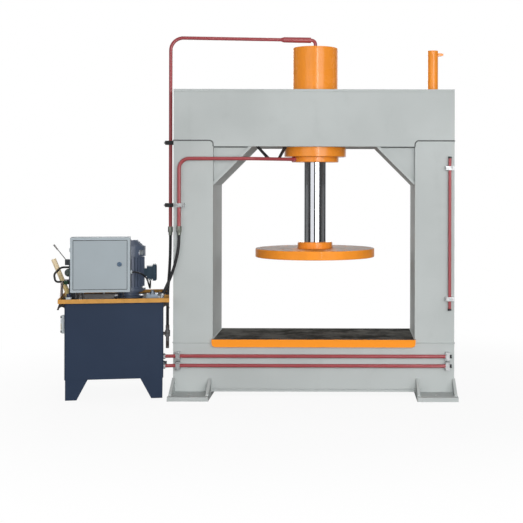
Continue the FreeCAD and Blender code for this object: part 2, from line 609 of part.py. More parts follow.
def make_cylinder():
    """The cylinder: flanged barrel, end cap, gland, sunk bolts, wiper and the two port fittings."""
    turned = revolved("barrel_turned", [
        ("cylinder_bore", FLANGE_UNDER), ("flange_radius - flange_bevel", FLANGE_UNDER),
        ("flange_radius", f"{FLANGE_UNDER} + flange_bevel"), ("flange_radius", BEAM_UNDER),
        ("barrel_radius", BEAM_UNDER), ("barrel_radius", BARREL_TOP), ("cylinder_bore", BARREL_TOP)])
    flange_places = ring_places(("0", "0", FLANGE_UNDER), "flange_bolt_ring", "flange_bolt_count",
                                "gland_turn + 180 / flange_bolt_count")
    node("cylinder_barrel", cut("barrel_drilled", turned, [
        cylinder(f"flange_hole_{number}", place, "flange_bolt_radius + bolt_room", "flange_bolt_head")
        for number, place in enumerate(flange_places)]))
    cap = revolved("cylinder_cap", [
        ("0", f"{BARREL_TOP} - cap_spigot"), ("cylinder_bore - fit_gap", f"{BARREL_TOP} - cap_spigot"),
        ("cylinder_bore - fit_gap", BARREL_TOP), ("barrel_radius", BARREL_TOP),
        ("barrel_radius", CAP_TOP), ("0", CAP_TOP)])
    soften(cap, "Fillet", "cylinder_cap_round", "cap_round",
           lambda edge: edge.BoundBox.ZMin > value(CAP_TOP) - 0.01 and edge.BoundBox.XLength > 1)
    node("cylinder_cap", cap)
    seat = f"({GLAND_UNDER} + wiper_height)"
    gland = revolved("gland_turned", [
        ("rod_radius + fit_gap", seat), ("wiper_radius + fit_gap", seat),
        ("wiper_radius + fit_gap", GLAND_UNDER), ("gland_radius - gland_bevel", GLAND_UNDER),
        ("gland_radius", f"{GLAND_UNDER} + gland_bevel"), ("gland_radius", FLANGE_UNDER),
        ("cylinder_bore - fit_gap", FLANGE_UNDER), ("cylinder_bore - fit_gap", GLAND_TOP),
        ("rod_radius + fit_gap", GLAND_TOP)])
    gland_places = ring_places(("0", "0", GLAND_UNDER), "gland_bolt_ring", "gland_bolt_count")
    node("gland", cut("gland_drilled", gland, [
        cylinder(f"gland_hole_{number}", place, "gland_bolt_radius + bolt_room", "gland_bolt_head")
        for number, place in enumerate(gland_places)]))
    flange_bolts = [hexagon(f"flange_bolt_{number}", place, "flange_bolt_radius", "flange_bolt_head")
                    for number, place in enumerate(flange_places)]
    gland_bolts = [cylinder(f"gland_bolt_{number}", place, "gland_bolt_radius", "gland_bolt_head")
                   for number, place in enumerate(gland_places)]
    node("cylinder_bolts", together("cylinder_bolt_set", flange_bolts + gland_bolts))
    node("rod_wiper", revolved("rod_wiper", [
        ("rod_radius + wiper_gap", GLAND_UNDER), ("wiper_radius", GLAND_UNDER), ("wiper_radius", seat),
        ("rod_radius + wiper_gap", seat)]))
    cap_port = fuse("cap_port_body", [
        hexagon("cap_port_hex", ("0", "0", CAP_TOP), "port_radius", "top_port / 2"),
        cylinder("cap_port_neck", ("0", "0", CAP_TOP), "port_nut", "top_port")])
    outer_x = "-gland_radius - gland_port"
    port = fuse("gland_port_body", [
        cylinder("gland_port_neck", (outer_x, "0", GLAND_PORT_Z), "pipe_radius + gland_port_wall",
                 "gland_port + gland_port_wall", "x"),
        hexagon("gland_port_nut", (outer_x, "0", GLAND_PORT_Z), "gland_port_radius", "gland_port * 0.8",
                "x")])
    trimmed = cut("gland_port_seated", port, [cylinder(
        "gland_port_seat", ("0", "0", f"{GLAND_UNDER} - gland_thickness / 2"), "gland_radius",
        "gland_thickness * 2")])
    turn(trimmed, "gland_turn")
    node("cylinder_ports", together("cylinder_port_set", [cap_port, trimmed]))


def make_ram():
    """The ram: chromed rod, piston with seals and nut, and the round platen with its hub."""
    floor = f"{PLATEN_UNDER} + socket_floor"
    neck_top = f"{PISTON_UNDER} + piston_thickness - neck_drop"
    node("piston_rod", revolved("piston_rod", [
        ("0", floor), ("rod_foot", floor), ("rod_foot", PLATEN_TOP), ("rod_radius", PLATEN_TOP),
        ("rod_radius", PISTON_UNDER), ("rod_neck", PISTON_UNDER), ("rod_neck", neck_top), ("0", neck_top)]))
    outer = "cylinder_bore - fit_gap"
    groove = f"{outer} - seal_depth"
    seat = f"{PISTON_UNDER} + piston_thickness - piston_recess"
    rows = [f"{PISTON_UNDER} + seal_groove", f"{PISTON_UNDER} + 4 * seal_groove"]
    corners = [("rod_neck + fit_gap", PISTON_UNDER), (outer, PISTON_UNDER)]
    for row in rows:
        corners += [(outer, row), (groove, row), (groove, f"{row} + seal_groove"),
                    (outer, f"{row} + seal_groove")]
    corners += [(outer, f"{PISTON_UNDER} + piston_thickness"),
                ("piston_recess_radius", f"{PISTON_UNDER} + piston_thickness"),
                ("piston_recess_radius", seat), ("rod_neck + fit_gap", seat)]
    node("piston", revolved("piston", corners))
    node("piston_seals", together("piston_seal_set", [revolved(f"piston_seal_{number}", [
        (f"{groove} + fit_gap", row), (outer, row), (outer, f"{row} + seal_groove"),
        (f"{groove} + fit_gap", f"{row} + seal_groove")]) for number, row in enumerate(rows)]))
    nut = cut("piston_nut_bored", hexagon("piston_nut_hex", ("0", "0", seat), "nut_radius", "nut_height"),
              [cylinder("piston_nut_bore", ("0", "0", seat), "rod_neck + fit_gap", "nut_height")])
    disc = cylinder("platen_disc", ("0", "0", PLATEN_UNDER), "platen_radius", "platen_thickness")
    rounded = doc.addObject("Part::Fillet", "platen_rounded")
    rounded.Base = disc
    doc.recompute()
    rims = [number for number, edge in enumerate(disc.Shape.Edges, start=1) if edge.BoundBox.XLength > 1
            and edge.BoundBox.ZLength < 1]
    rounded.Edges = [(number, value("platen_round"), value("platen_round")) for number in rims]
    holes = [cylinder(f"platen_hole_{number}", place, "lifting_hole_radius", "lifting_hole_depth")
             for number, place in enumerate(ring_places(
                 ("0", "0", f"{PLATEN_TOP} - lifting_hole_depth"), "lifting_hole_ring",
                 "lifting_hole_count", 45))]
    holes.append(cylinder("platen_socket", ("0", "0", floor), "rod_foot + fit_gap", "platen_thickness"))
    node("platen", cut("platen_drilled", rounded, holes))
    hub_top = f"{PLATEN_TOP} + hub_height"
    hub = revolved("hub_ring", [
        ("rod_radius + fit_gap", PLATEN_TOP), ("hub_radius", PLATEN_TOP),
        ("hub_radius", f"{hub_top} - hub_bevel"), ("hub_radius - hub_bevel", hub_top),
        ("rod_radius + fit_gap", hub_top)])
    places = ring_places(("0", "0", f"{hub_top} - hub_bolt_head"), "hub_bolt_ring", "hub_bolt_count")
    node("platen_hub", cut("hub_drilled", hub, [
        cylinder(f"hub_hole_{number}", place, "hub_bolt_radius + bolt_room / 3", "hub_bolt_head")
        for number, place in enumerate(places)]))
    hub_bolts = [cylinder(f"hub_bolt_{number}", place, "hub_bolt_radius", "hub_bolt_head * 0.8")
                 for number, place in enumerate(places)]
    node("ram_fasteners", together("ram_fastener_set", [nut, *hub_bolts]))


def make_top_pipe():
    """The pipe from the cylinder's cap, over the beam and down beside the left column."""
    reach = "sqrt(top_pipe_x * top_pipe_x + top_pipe_y * top_pipe_y)"
    start_z = f"{CAP_TOP} + top_port"
    rise = "(top_rise - top_port)"
    angle = "atan(top_pipe_y / top_pipe_x)"
    pipe = bent_pipe("top_pipe_bar", "XZ_Plane", "XY_Plane", [
        ("0", "0"), ("0", rise), (f"-{reach}", rise), (f"-{reach}", f"top_pipe_end - ({start_z})")],
        ["top_bend", "top_corner_bend"], "pipe_radius")
    move(pipe, ("0", "0", start_z))
    sleeve_x = "(-sleeve_start - sleeve_length)"
    sleeve_z = f"{CAP_TOP} + top_rise"
    sleeve = cylinder("pipe_sleeve", (f"{sleeve_x} + sleeve_taper", "0", sleeve_z), "sleeve_radius",
                      "sleeve_length - sleeve_taper", "x")
    taper = cone("sleeve_end", (sleeve_x, "0", sleeve_z), "pipe_radius + sleeve_edge", "sleeve_radius",
                 "sleeve_taper", "x")
    node("top_pipe", turn(fuse("top_pipe_sleeved", [pipe, sleeve, taper]), angle))


def make_gland_pipe():
    """The pipe from the gland to the front of the left column, and its strap hanger."""
    start = "(gland_radius + gland_port)"
    ahead = f"({GLAND_PIPE_Y} / tan(gland_turn))"
    pipe = routed_pipe("gland_pipe", [
        (f"-{start} * cos(gland_turn)", f"-{start} * sin(gland_turn)", GLAND_PORT_Z),
        (f"-{ahead}", f"-{GLAND_PIPE_Y}", GLAND_PORT_Z), ("-gland_pipe_x", f"-{GLAND_PIPE_Y}", GLAND_PORT_Z),
        ("-gland_pipe_x", f"-{GLAND_PIPE_Y}", "gland_pipe_end")],
        ["gland_plan_bend", "pipe_bend"], "pipe_radius")
    node("gland_pipe", pipe)
    low = f"({GLAND_PORT_Z} - hanger_bar / 2)"
    high = f"({GLAND_PORT_Z} + hanger_bar / 2)"
    right = "(hanger_middle - hanger_flat / 2)"
    left = "(hanger_middle + hanger_flat / 2)"
    across = "1.3 * hanger_bar"
    hanger = padded("pipe_hanger", "XZ_Plane", [
        ("-hanger_reach", BEAM_UNDER), (f"-{left}", low), (f"-{right}", low), ("-hanger_inner", BEAM_UNDER),
        (f"-hanger_inner - {across}", BEAM_UNDER), (f"-{right} - hanger_bar / 2", high),
        (f"-{left} + hanger_bar / 2", high), (f"-hanger_reach + {across}", BEAM_UNDER)], "hanger_plate")
    turn(hanger, "gland_turn")
    behind = "(pipe_radius + hanger_plate / 2 + clamp_gap)"
    bind(hanger, "Placement.Base.x", f"-{behind} * sin(gland_turn)")
    bind(hanger, "Placement.Base.y", f"{behind} * cos(gland_turn)")
    node("pipe_hanger", hanger)


def upright_clamp(name, centre, gap, face, radius="pipe_radius", cover="clamp_cover", shift="0"):
    """A clamp block round an upright pipe on a wall, with its two bolt heads.

    face is x for a wall that looks to -X, and y for one that looks to -Y, along which the block
    may be shifted.
    """
    x, y, z = centre
    out = f"({radius} + {cover})"
    deep = f"({gap} + {out})"
    low = f"{z} - clamp_height / 2"
    if face == "x":
        block = box(f"{name}_block", (f"{x} - {out}", f"{y} - clamp_width / 2", low),
                    (deep, "clamp_width", "clamp_height"))
        places = [(f"{x} - {out} - clamp_bolt_head", f"{y} + {side} * clamp_bolt_pitch / 2", z)
                  for side in (-1, 1)]
    else:
        block = box(f"{name}_block", (f"{x} + {shift} - clamp_width / 2", f"{y} - {out}", low),
                    ("clamp_width", deep, "clamp_height"))
        places = [(f"{x} + {shift} + {side} * clamp_bolt_pitch / 2", f"{y} - {out} - clamp_bolt_head", z)
                  for side in (-1, 1)]
    bored = cut(f"{name}_bored", block, [cylinder(f"{name}_bore", (x, y, low), f"{radius} + clamp_gap",
                                                  "clamp_height")])
    heads = [hexagon(f"{name}_bolt_{number}", place, "clamp_bolt_radius", "clamp_bolt_head", face)
             for number, place in enumerate(places)]
    return bored, heads


def make_clamps():
    """The clamps of the upright pipes, their bolts and the hose fittings at the pipes' ends."""
    top_gap = f"(top_pipe_x - {SIDE_X})"
    top = [upright_clamp(f"top_clamp_{number}", ("-top_pipe_x", "-top_pipe_y", height), top_gap, "x",
                         cover="top_clamp_cover")
           for number, height in enumerate((f"({COLUMN_TOP} - top_clamp_drop)", "top_clamp_low"))]
    node("top_pipe_clamps", together("top_clamp_set", [block for block, heads in top]))
    gland = [upright_clamp("gland_clamp_block", ("-gland_pipe_x", f"-{GLAND_PIPE_Y}", "gland_clamp"),
                           "gland_pipe_gap", "y", shift="gland_clamp_shift")]
    side_y = f"({FRONT_Y} - front_pipe_gap)"
    side = [upright_clamp(f"side_clamp_{number}", ("side_pipe_x", side_y, height), "front_pipe_gap", "y",
                          radius="side_pipe_radius")
            for number, height in enumerate((f"({COLUMN_TOP} - side_clamp_drop)", "side_clamp_low"))]
    blocks = [block for block, heads in gland + side]
    bolts = [head for block, heads in top + gland + side for head in heads]
    ends = []
    for name, x, y, z in (("top", "-top_pipe_x", "-top_pipe_y", "top_pipe_end"),
                          ("gland", "-gland_pipe_x", f"-{GLAND_PIPE_Y}", "gland_pipe_end")):
        low = f"{z} - hose_end_length"
        ends.append(fuse(f"{name}_hose_end", [
            cylinder(f"{name}_hose_end_neck", (x, y, low), "hose_radius + hose_end_wall", "hose_end_length"),
            hexagon(f"{name}_hose_end_nut", (x, y, f"{low} + hose_end_length / 3"), "hose_end_radius",
                    "hose_end_length * 2 / 3")]))
    node("pipe_unions", together("pipe_union_set", ends))
    return blocks, bolts


def make_front_pipes(blocks, bolts):
    """The plugged pipes on the frame's front, with stacked clamps, and their unions on the tank.

    blocks and bolts are the other pipes' clamps and bolts, which share nodes with these.
    """
    y = f"({FRONT_Y} - front_pipe_gap)"
    # where the pipes' line meets the turned right side of the tank
    side_x = f"({UNIT_X} + tank_length * cos(unit_turn))"
    side_y = f"({UNIT_Y} + tank_length * sin(unit_turn))"
    wall_x = f"({side_x} - ({y} - {side_y}) * tan(unit_turn))"
    bend_x = f"({wall_x} + tank_bend_gap)"
    leg = "(tank_bend_gap * cos(unit_turn) - union_length)"
    side_pipe_high = f"({COLUMN_TOP} - side_pipe_drop)"
    pipes = [cylinder("side_pipe_bar", ("side_pipe_x", y, "side_pipe_low"), "side_pipe_radius",
                      f"{side_pipe_high} - side_pipe_low")]
    plugs = []
    for end, z in (("low", "side_pipe_low - plug_length"), ("high", side_pipe_high)):
        plugs.append(cylinder(f"side_pipe_plug_{end}", ("side_pipe_x", y, z), "plug_radius", "plug_length"))
    unions = []
    heights = ("front_pipe_low", "(front_pipe_low + front_pipe_pitch)")
    for name, z in zip(("front_pipe_lower", "front_pipe_upper"), heights):
        pipe = bent_pipe(name, "XY_Plane", "YZ_Plane", [
            ("0", "0"), (f"{bend_x} - front_pipe_right", "0"),
            (f"{bend_x} - front_pipe_right - {leg} * cos(unit_turn)", f"-{leg} * sin(unit_turn)")],
            ["front_pipe_bend"], "pipe_radius")
        pipes.append(move(pipe, ("front_pipe_right", y, z)))
        plugs.append(cylinder(f"{name}_plug", ("front_pipe_right", y, z), "plug_radius", "plug_length", "x"))
        # the union stands square on the tank's side, at the bend's height across the unit's own frame
        v = f"(({y} - {UNIT_Y}) * cos(unit_turn) - ({bend_x} - {UNIT_X}) * sin(unit_turn))"
        unions.append(hexagon(f"{name}_union", ("tank_length", v, z), "union_radius", "union_length", "x"))
    node("pipe_plugs", together("pipe_plug_set", plugs))
    node("front_pipes", together("front_pipe_set", pipes))
    deep = "(front_pipe_gap + pipe_radius + clamp_cover)"
    for name, x in (("left", "-front_clamp_left"), ("right", "front_clamp_right")):
        for row, z in enumerate(heights):
            label = f"front_clamp_{name}_{row}"
            block = box(f"{label}_block", (f"{x} - clamp_height / 2", f"{FRONT_Y} - {deep}",
                                           f"{z} - clamp_width / 2"), ("clamp_height", deep, "clamp_width"))
            blocks.append(cut(f"{label}_bored", block, [cylinder(
                f"{label}_bore", (f"{x} - clamp_height / 2", y, z), "pipe_radius + clamp_gap",
                "clamp_height", "x")]))
            for side in (-1, 1):
                bolts.append(hexagon(f"{label}_bolt_{side + 1}",
                                     (x, f"{FRONT_Y} - {deep} - clamp_bolt_head",
                                      f"{z} + {side} * clamp_bolt_pitch / 2"),
                                     "clamp_bolt_radius", "clamp_bolt_head", "y"))
    node("pipe_clamps", together("pipe_clamp_set", blocks))
    node("clamp_bolts", together("clamp_bolt_set", bolts))
    return unions


def lifting_lug(name, wall, side, reach, v):
    """A lug on a tank wall that slopes outward and down, with an arch under it."""
    foot = f"({TANK_TOP} - lug_drop)"
    top = f"({TANK_TOP} - lug_top_gap)"
    plate = padded(f"{name}_plate", "XZ_Plane", [
        (wall, foot), (f"{wall} + {side} * {reach}", foot), (f"{wall} + {side} * 0.7 * {reach}", top),
        (wall, top)], "lug_plate")
    move(plate, ("0", f"{v} + lug_plate / 2", "0"))
    arch = cylinder(f"{name}_arch", (f"{wall} + {side} * 0.38 * {reach}", v, foot), f"0.38 * {reach}",
                    "lug_plate", "y")
    return cut(f"{name}_arched", plate, [arch])


def make_tank():
    """The oil tank on its folded legs, the tray that closes it and what is fixed to its walls."""
    tank = padded("tank_shell", "XY_Plane", [
        ("0", "0"), ("tank_length", "0"), ("tank_length", "tank_depth"), ("0", "tank_depth")],
        "tank_height", middle=False)
    soften(tank, "Fillet", "tank_corners", "tank_round",
           lambda edge: abs(edge.BoundBox.ZLength - value("tank_height")) < 0.01)
    room = outline(tank, "tank_room", "XY_Plane", [
        ("tank_wall", "tank_wall"), ("tank_length - tank_wall", "tank_wall"),
        ("tank_length - tank_wall", "tank_depth - tank_wall"), ("tank_wall", "tank_depth - tank_wall")])
    bind(room, "AttachmentOffset.Base.z", "tank_wall")
    feature(tank, "Pocket", "tank_hollow", room, "tank_height", middle=False, back=True)
    move(tank, ("0", "0", "leg_height"))
    node("tank", together("tank_placed", [tank]), unit=True)
    legs = []
    for name, edge, side in (("left", "leg_inset", 1), ("right", "tank_length - leg_inset", -1)):
        ends = []
        for end, v in (("front", "leg_inset + leg_wall / 2"),
                       ("back", "tank_depth - leg_inset - leg_wall / 2")):
            plate = padded(f"{name}_leg_{end}", "XZ_Plane", [
                (edge, "0"), (f"{edge} + {side} * leg_foot", "0"),
                (f"{edge} + {side} * leg_top", "leg_height"), (edge, "leg_height")], "leg_wall")
            ends.append(move(plate, ("0", v, "0")))
        wall_u = edge if side > 0 else f"{edge} - leg_wall"
        side_wall = box(f"{name}_leg_side", (wall_u, "leg_inset", "0"),
                        ("leg_wall", "tank_depth - 2 * leg_inset", "leg_height"))
        sole_u = edge if side > 0 else f"{edge} - leg_foot"
        sole = box(f"{name}_leg_sole", (sole_u, "leg_inset", "0"),
                   ("leg_foot", "tank_depth - 2 * leg_inset", "leg_wall"))
        legs.append(fuse(f"{name}_leg", [*ends, side_wall, sole]))
    node("tank_legs", together("tank_leg_set", legs), unit=True)

    over = "tray_overhang"
    pan = hollow("tray_pan", (f"-{over}", f"-{over}", TANK_TOP),
                 (f"tank_length + 2 * {over}", f"tank_depth + 2 * {over}", "tray_height"),
                 (f"tray_wall - {over}", f"tray_wall - {over}", TRAY_TOP),
                 (f"tank_length + 2 * {over} - 2 * tray_wall", f"tank_depth + 2 * {over} - 2 * tray_wall",
                  "tray_height"))
    notch_u = "(tank_length + notch_start)"
    notch_v = "(return_v - notch_width / 2)"
    notch_wall = box("notch_wall", (f"{notch_u} - tray_wall", f"{notch_v} - tray_wall", TANK_TOP),
                     (f"{over} - notch_start + tray_wall", "notch_width + 2 * tray_wall", "tray_height"))
    notch = box("notch_room", (notch_u, notch_v, TANK_TOP), (over, "notch_width", "tray_height"))
    guard = padded("side_guard", "YZ_Plane", [
        ("guard_low_v", TRAY_TOP), ("guard_back_v", TRAY_TOP), ("guard_back_v", f"{TRAY_TOP} + guard_height"),
        ("guard_high_v", f"{TRAY_TOP} + guard_height")], "guard_plate", middle=False)
    move(guard, (f"tray_wall - {over}", "0", "0"))
    pump_hole = cylinder("tray_pump_hole", ("motor_u", "motor_v", TANK_TOP),
                         "pump_flange_radius + pump_hole_gap", "tray_plate")
    filler_hole = cylinder("tray_filler_hole", ("filler_u", "filler_v", TANK_TOP),
                           "filler_radius - filler_wall", "tray_plate")
    node("tank_tray", cut("tray_opened", fuse("tray_welded", [pan, notch_wall, guard]),
                          [notch, pump_hole, filler_hole]), unit=True)
    parts = []
    for number, share in enumerate((0.1, 0.35, 0.65, 0.96)):
        for row, v in enumerate(("tray_bolt_inset", "tank_depth - tray_bolt_inset")):
            parts.append(hexagon(f"tray_bolt_{number}_{row}", (f"{share} * tank_length", v, TRAY_TOP),
                                 "tray_bolt_radius", "tray_bolt_head"))

    case = hollow("gauge_case", ("-gauge_depth", "gauge_v", "gauge_low"),
                  ("gauge_depth", "gauge_width", "gauge_height"),
                  ("-gauge_depth", "gauge_v + gauge_rim", "gauge_low + gauge_end"),
                  ("gauge_depth - gauge_wall", "gauge_width - 2 * gauge_rim", "gauge_height - 2 * gauge_end"))
    glass = box("gauge_glass",
                ("-gauge_depth + gauge_glass_gap", "gauge_v + gauge_rim", "gauge_low + gauge_end"),
                ("gauge_depth - gauge_glass_gap - gauge_wall", "gauge_width - 2 * gauge_rim",
                 "gauge_height - 2 * gauge_end"))
    node("level_gauge", together("level_gauge_set", [case, glass]), unit=True)

    for row, v in enumerate(("lug_inset", "tank_depth - lug_inset - lug_plate")):
        parts.append(lifting_lug(f"left_lug_{row}", "0", -1, "left_lug_reach", v))
        parts.append(lifting_lug(f"right_lug_{row}", "tank_length", 1, "right_lug_reach", v))
    parts.append(fuse("drain_plug", [
        cylinder("drain_boss", ("tank_length", "tank_depth * 0.8", "drain_height"), "drain_boss_radius",
                 "drain_boss_length", "x"),
        hexagon("drain_hex", ("tank_length + drain_boss_length", "tank_depth * 0.8", "drain_height"),
                "drain_head_radius", "drain_head_length", "x")]))
    # the return port: a small ball valve whose outlet looks up, with a tail below
    at = ("tank_length + return_reach", "return_v")
    ball_low = "return_height - return_ball_height / 2"
    parts.append(fuse("return_port", [
        cylinder("return_stub", ("tank_length", "return_v", "return_height"), "return_tail_radius",
                 "return_reach", "x"),
        cylinder("return_ball", (*at, ball_low), "return_ball_radius", "return_ball_height"),
        cylinder("return_up", (*at, f"{ball_low} + return_ball_height"), "hose_radius + hose_end_wall",
                 "return_neck"),
        cylinder("return_down", (*at, f"{ball_low} - return_tail"), "return_tail_radius", "return_tail")]))
    return parts


def make_motor():
    """The upright motor on its bell, the shaft with fan and coupling, and the pump in the tank."""
    at = ("motor_u", "motor_v")
    bell = revolved("bell_turned", [
        ("bell_bore", TRAY_TOP), ("bell_radius + bell_rim", TRAY_TOP),
        ("bell_radius + bell_rim", f"{TRAY_TOP} + bell_foot"),
        ("bell_radius - bell_rim", f"{TRAY_TOP} + bell_foot + bell_slope"),
        ("bell_radius - bell_rim", f"{FLANGE_Z} - bell_foot - bell_slope"),
        ("bell_radius + bell_rim", f"{FLANGE_Z} - bell_foot"), ("bell_radius + bell_rim", FLANGE_Z),
        ("bell_bore", FLANGE_Z)])
    move(bell, (*at, "0"))
    node("bell_housing", together("bell_placed", [bell]), unit=True)

    body = new_body("motor_frame")
    core = circle(body, "motor_core_circle", "XY_Plane", ("0", "0"), "motor_radius")
    feature(body, "Pad", "motor_core", core, "motor_length", middle=False)
    fin = outline(body, "motor_fin_outline", "XY_Plane", [
        ("motor_radius - fin_root", "-fin_width / 2"), ("motor_radius + fin_height", "-fin_width * 0.3"),
        ("motor_radius + fin_height", "fin_width * 0.3"), ("motor_radius - fin_root", "fin_width / 2")])
    bind(fin, "AttachmentOffset.Base.z", "fin_margin")
    first = feature(body, "Pad", "motor_fin", fin, "motor_length - 2 * fin_margin", middle=False)
    pattern = body.newObject("PartDesign::PolarPattern", "motor_fins")
    pattern.Originals = [first]
    pattern.Axis = (fin, ["N_Axis"])
    pattern.Angle = 360
    bind(pattern, "Occurrences", "fin_count")
    body.Tip = pattern
    flange = circle(body, "motor_flange_circle", "XY_Plane", ("0", "0"), "motor_flange_radius")
    feature(body, "Pad", "motor_flange", flange, "motor_flange_thickness", middle=False, back=True)
    bore = circle(body, "motor_bore_circle", "XY_Plane", ("0", "0"), "shaft_radius + fit_gap")
    feature(body, "Pocket", "motor_bore", bore)
    move(body, (*at, MOTOR_Z))
    node("motor_housing", together("motor_placed", [body]), unit=True)

    cowl = new_body("motor_cowl_body")
    shoulder = "(cowl_length - cowl_shoulder_height)"
    crown = "(cowl_radius - cowl_shoulder_width)"
    shell = outline(cowl, "cowl_section", "XZ_Plane", [
        ("cowl_radius", "0"), ("cowl_radius", shoulder), (crown, "cowl_length"), ("cowl_eye", "cowl_length"),
        ("cowl_eye", "cowl_length - cowl_wall"), (f"{crown} - cowl_wall / 3", "cowl_length - cowl_wall"),
        ("cowl_radius - cowl_wall", f"{shoulder} - cowl_wall / 3"), ("cowl_radius - cowl_wall", "cowl_seat"),
        ("motor_radius + cowl_gap", "cowl_seat"), ("motor_radius + cowl_gap", "0")])
    turned = cowl.newObject("PartDesign::Revolution", "cowl_turned")
    turned.Profile = shell
    turned.ReferenceAxis = (shell, ["V_Axis"])
    turned.Angle = 360
    slot = outline(cowl, "cowl_slot_outline", "XY_Plane", [
        ("cowl_slot_inner", "-cowl_slot_width / 4"), ("cowl_slot_outer", "-cowl_slot_width / 2"),
        ("cowl_slot_outer", "cowl_slot_width / 2"), ("cowl_slot_inner", "cowl_slot_width / 4")])
    bind(slot, "AttachmentOffset.Base.z", "cowl_length - 2 * cowl_wall")
    opened = feature(cowl, "Pocket", "cowl_slot", slot, "4 * cowl_wall", middle=False, back=True)
    slots = cowl.newObject("PartDesign::PolarPattern", "cowl_slots_round")
    slots.Originals = [opened]
    slots.Axis = (slot, ["N_Axis"])
    slots.Angle = 360
    bind(slots, "Occurrences", "cowl_slots")
    cowl.Tip = slots
    move(cowl, (*at, f"{COWL_Z} - cowl_seat"))
    node("motor_cowl", together("cowl_placed", [cowl]), unit=True)

    shaft_low = f"{TANK_TOP} - shaft_reach"
    shaft_high = f"{COWL_Z} + fan_lift + fan_blade_height + shaft_top"
    shaft = cylinder("motor_shaft_bar", (*at, shaft_low), "shaft_radius", f"{shaft_high} - ({shaft_low})")
    coupling = cylinder("shaft_coupling", (*at, f"{TANK_TOP} + coupling_lift"), "coupling_radius",
                        "coupling_height")
    node("motor_shaft", fuse("shaft_with_coupling", [shaft, coupling]), unit=True)
    fan_low = f"{COWL_Z} + fan_lift"
    hub = cylinder("fan_hub", (*at, fan_low), "fan_hub_radius", "fan_blade_height")
    plate = cylinder("fan_plate", (*at, fan_low), "fan_radius", "fan_blade_plate")
    blades = []
    for number in range(int(value("fan_blades"))):
        blade = box(f"fan_blade_{number}", (*at, fan_low),
                    ("fan_radius", "fan_blade_plate", "fan_blade_height"))
        blades.append(turn(blade, f"{number} * 360 / fan_blades"))
    bore = cylinder("fan_bore", (*at, fan_low), "shaft_radius + fit_gap", "fan_blade_height")
    node("cooling_fan", cut("fan_bored", fuse("fan_whole", [hub, plate, *blades]), [bore]), unit=True)

    pump_low = f"({TRAY_TOP} - pump_flange_thickness - pump_height)"
    strainer_top = f"({pump_low} - suction_length)"
    pump = fuse("pump_solid", [
        cylinder("pump_flange", (*at, f"{TRAY_TOP} - pump_flange_thickness"), "pump_flange_radius",
                 "pump_flange_thickness"),
        cylinder("pump_barrel", (*at, pump_low), "pump_radius", "pump_height"),
        cylinder("suction_tube", (*at, strainer_top), "suction_radius", "suction_length"),
        cylinder("strainer_can", (*at, f"{strainer_top} - strainer_height"), "strainer_radius",
                 "strainer_height")])
    node("pump_body", cut("pump_bored", pump, [cylinder(
        "pump_bore", (*at, shaft_low), "shaft_radius + fit_gap", "pump_bore_depth")]), unit=True)

    neck = box("terminal_neck_block", ("motor_u + motor_radius / 2", "motor_v - terminal_neck_width / 2",
                                       "terminal_low + terminal_neck_inset"),
               ("motor_radius / 2 + fin_height + terminal_neck", "terminal_neck_width",
                "terminal_height - 2 * terminal_neck_inset"))
    seat = cylinder("terminal_seat", (*at, "terminal_low"), "motor_radius + fin_height + terminal_seat_gap",
                    "terminal_height")
    case = box("terminal_case", (TERMINAL_U, TERMINAL_V, "terminal_low"),
               ("terminal_width - terminal_lid", "terminal_depth", "terminal_height"))
    lid = padded("terminal_lid_plate", "YZ_Plane", [
        ("-terminal_rim", "-terminal_rim"), ("terminal_depth + terminal_rim", "-terminal_rim"),
        ("terminal_depth + terminal_rim", "terminal_height + terminal_rim"),
        ("-terminal_rim", "terminal_height + terminal_rim")], "terminal_lid", middle=False)
    soften(lid, "Chamfer", "terminal_lid_bevel", "terminal_bevel",
           lambda edge: edge.BoundBox.XMin > value("terminal_lid") - 0.01)
    move(lid, (f"{TERMINAL_U} + terminal_width - terminal_lid", TERMINAL_V, "terminal_low"))
    whole = fuse("terminal_solid", [cut("terminal_neck_seated", neck, [seat]), case])
    node("terminal_box", together("terminal_set", [whole, lid]), unit=True)


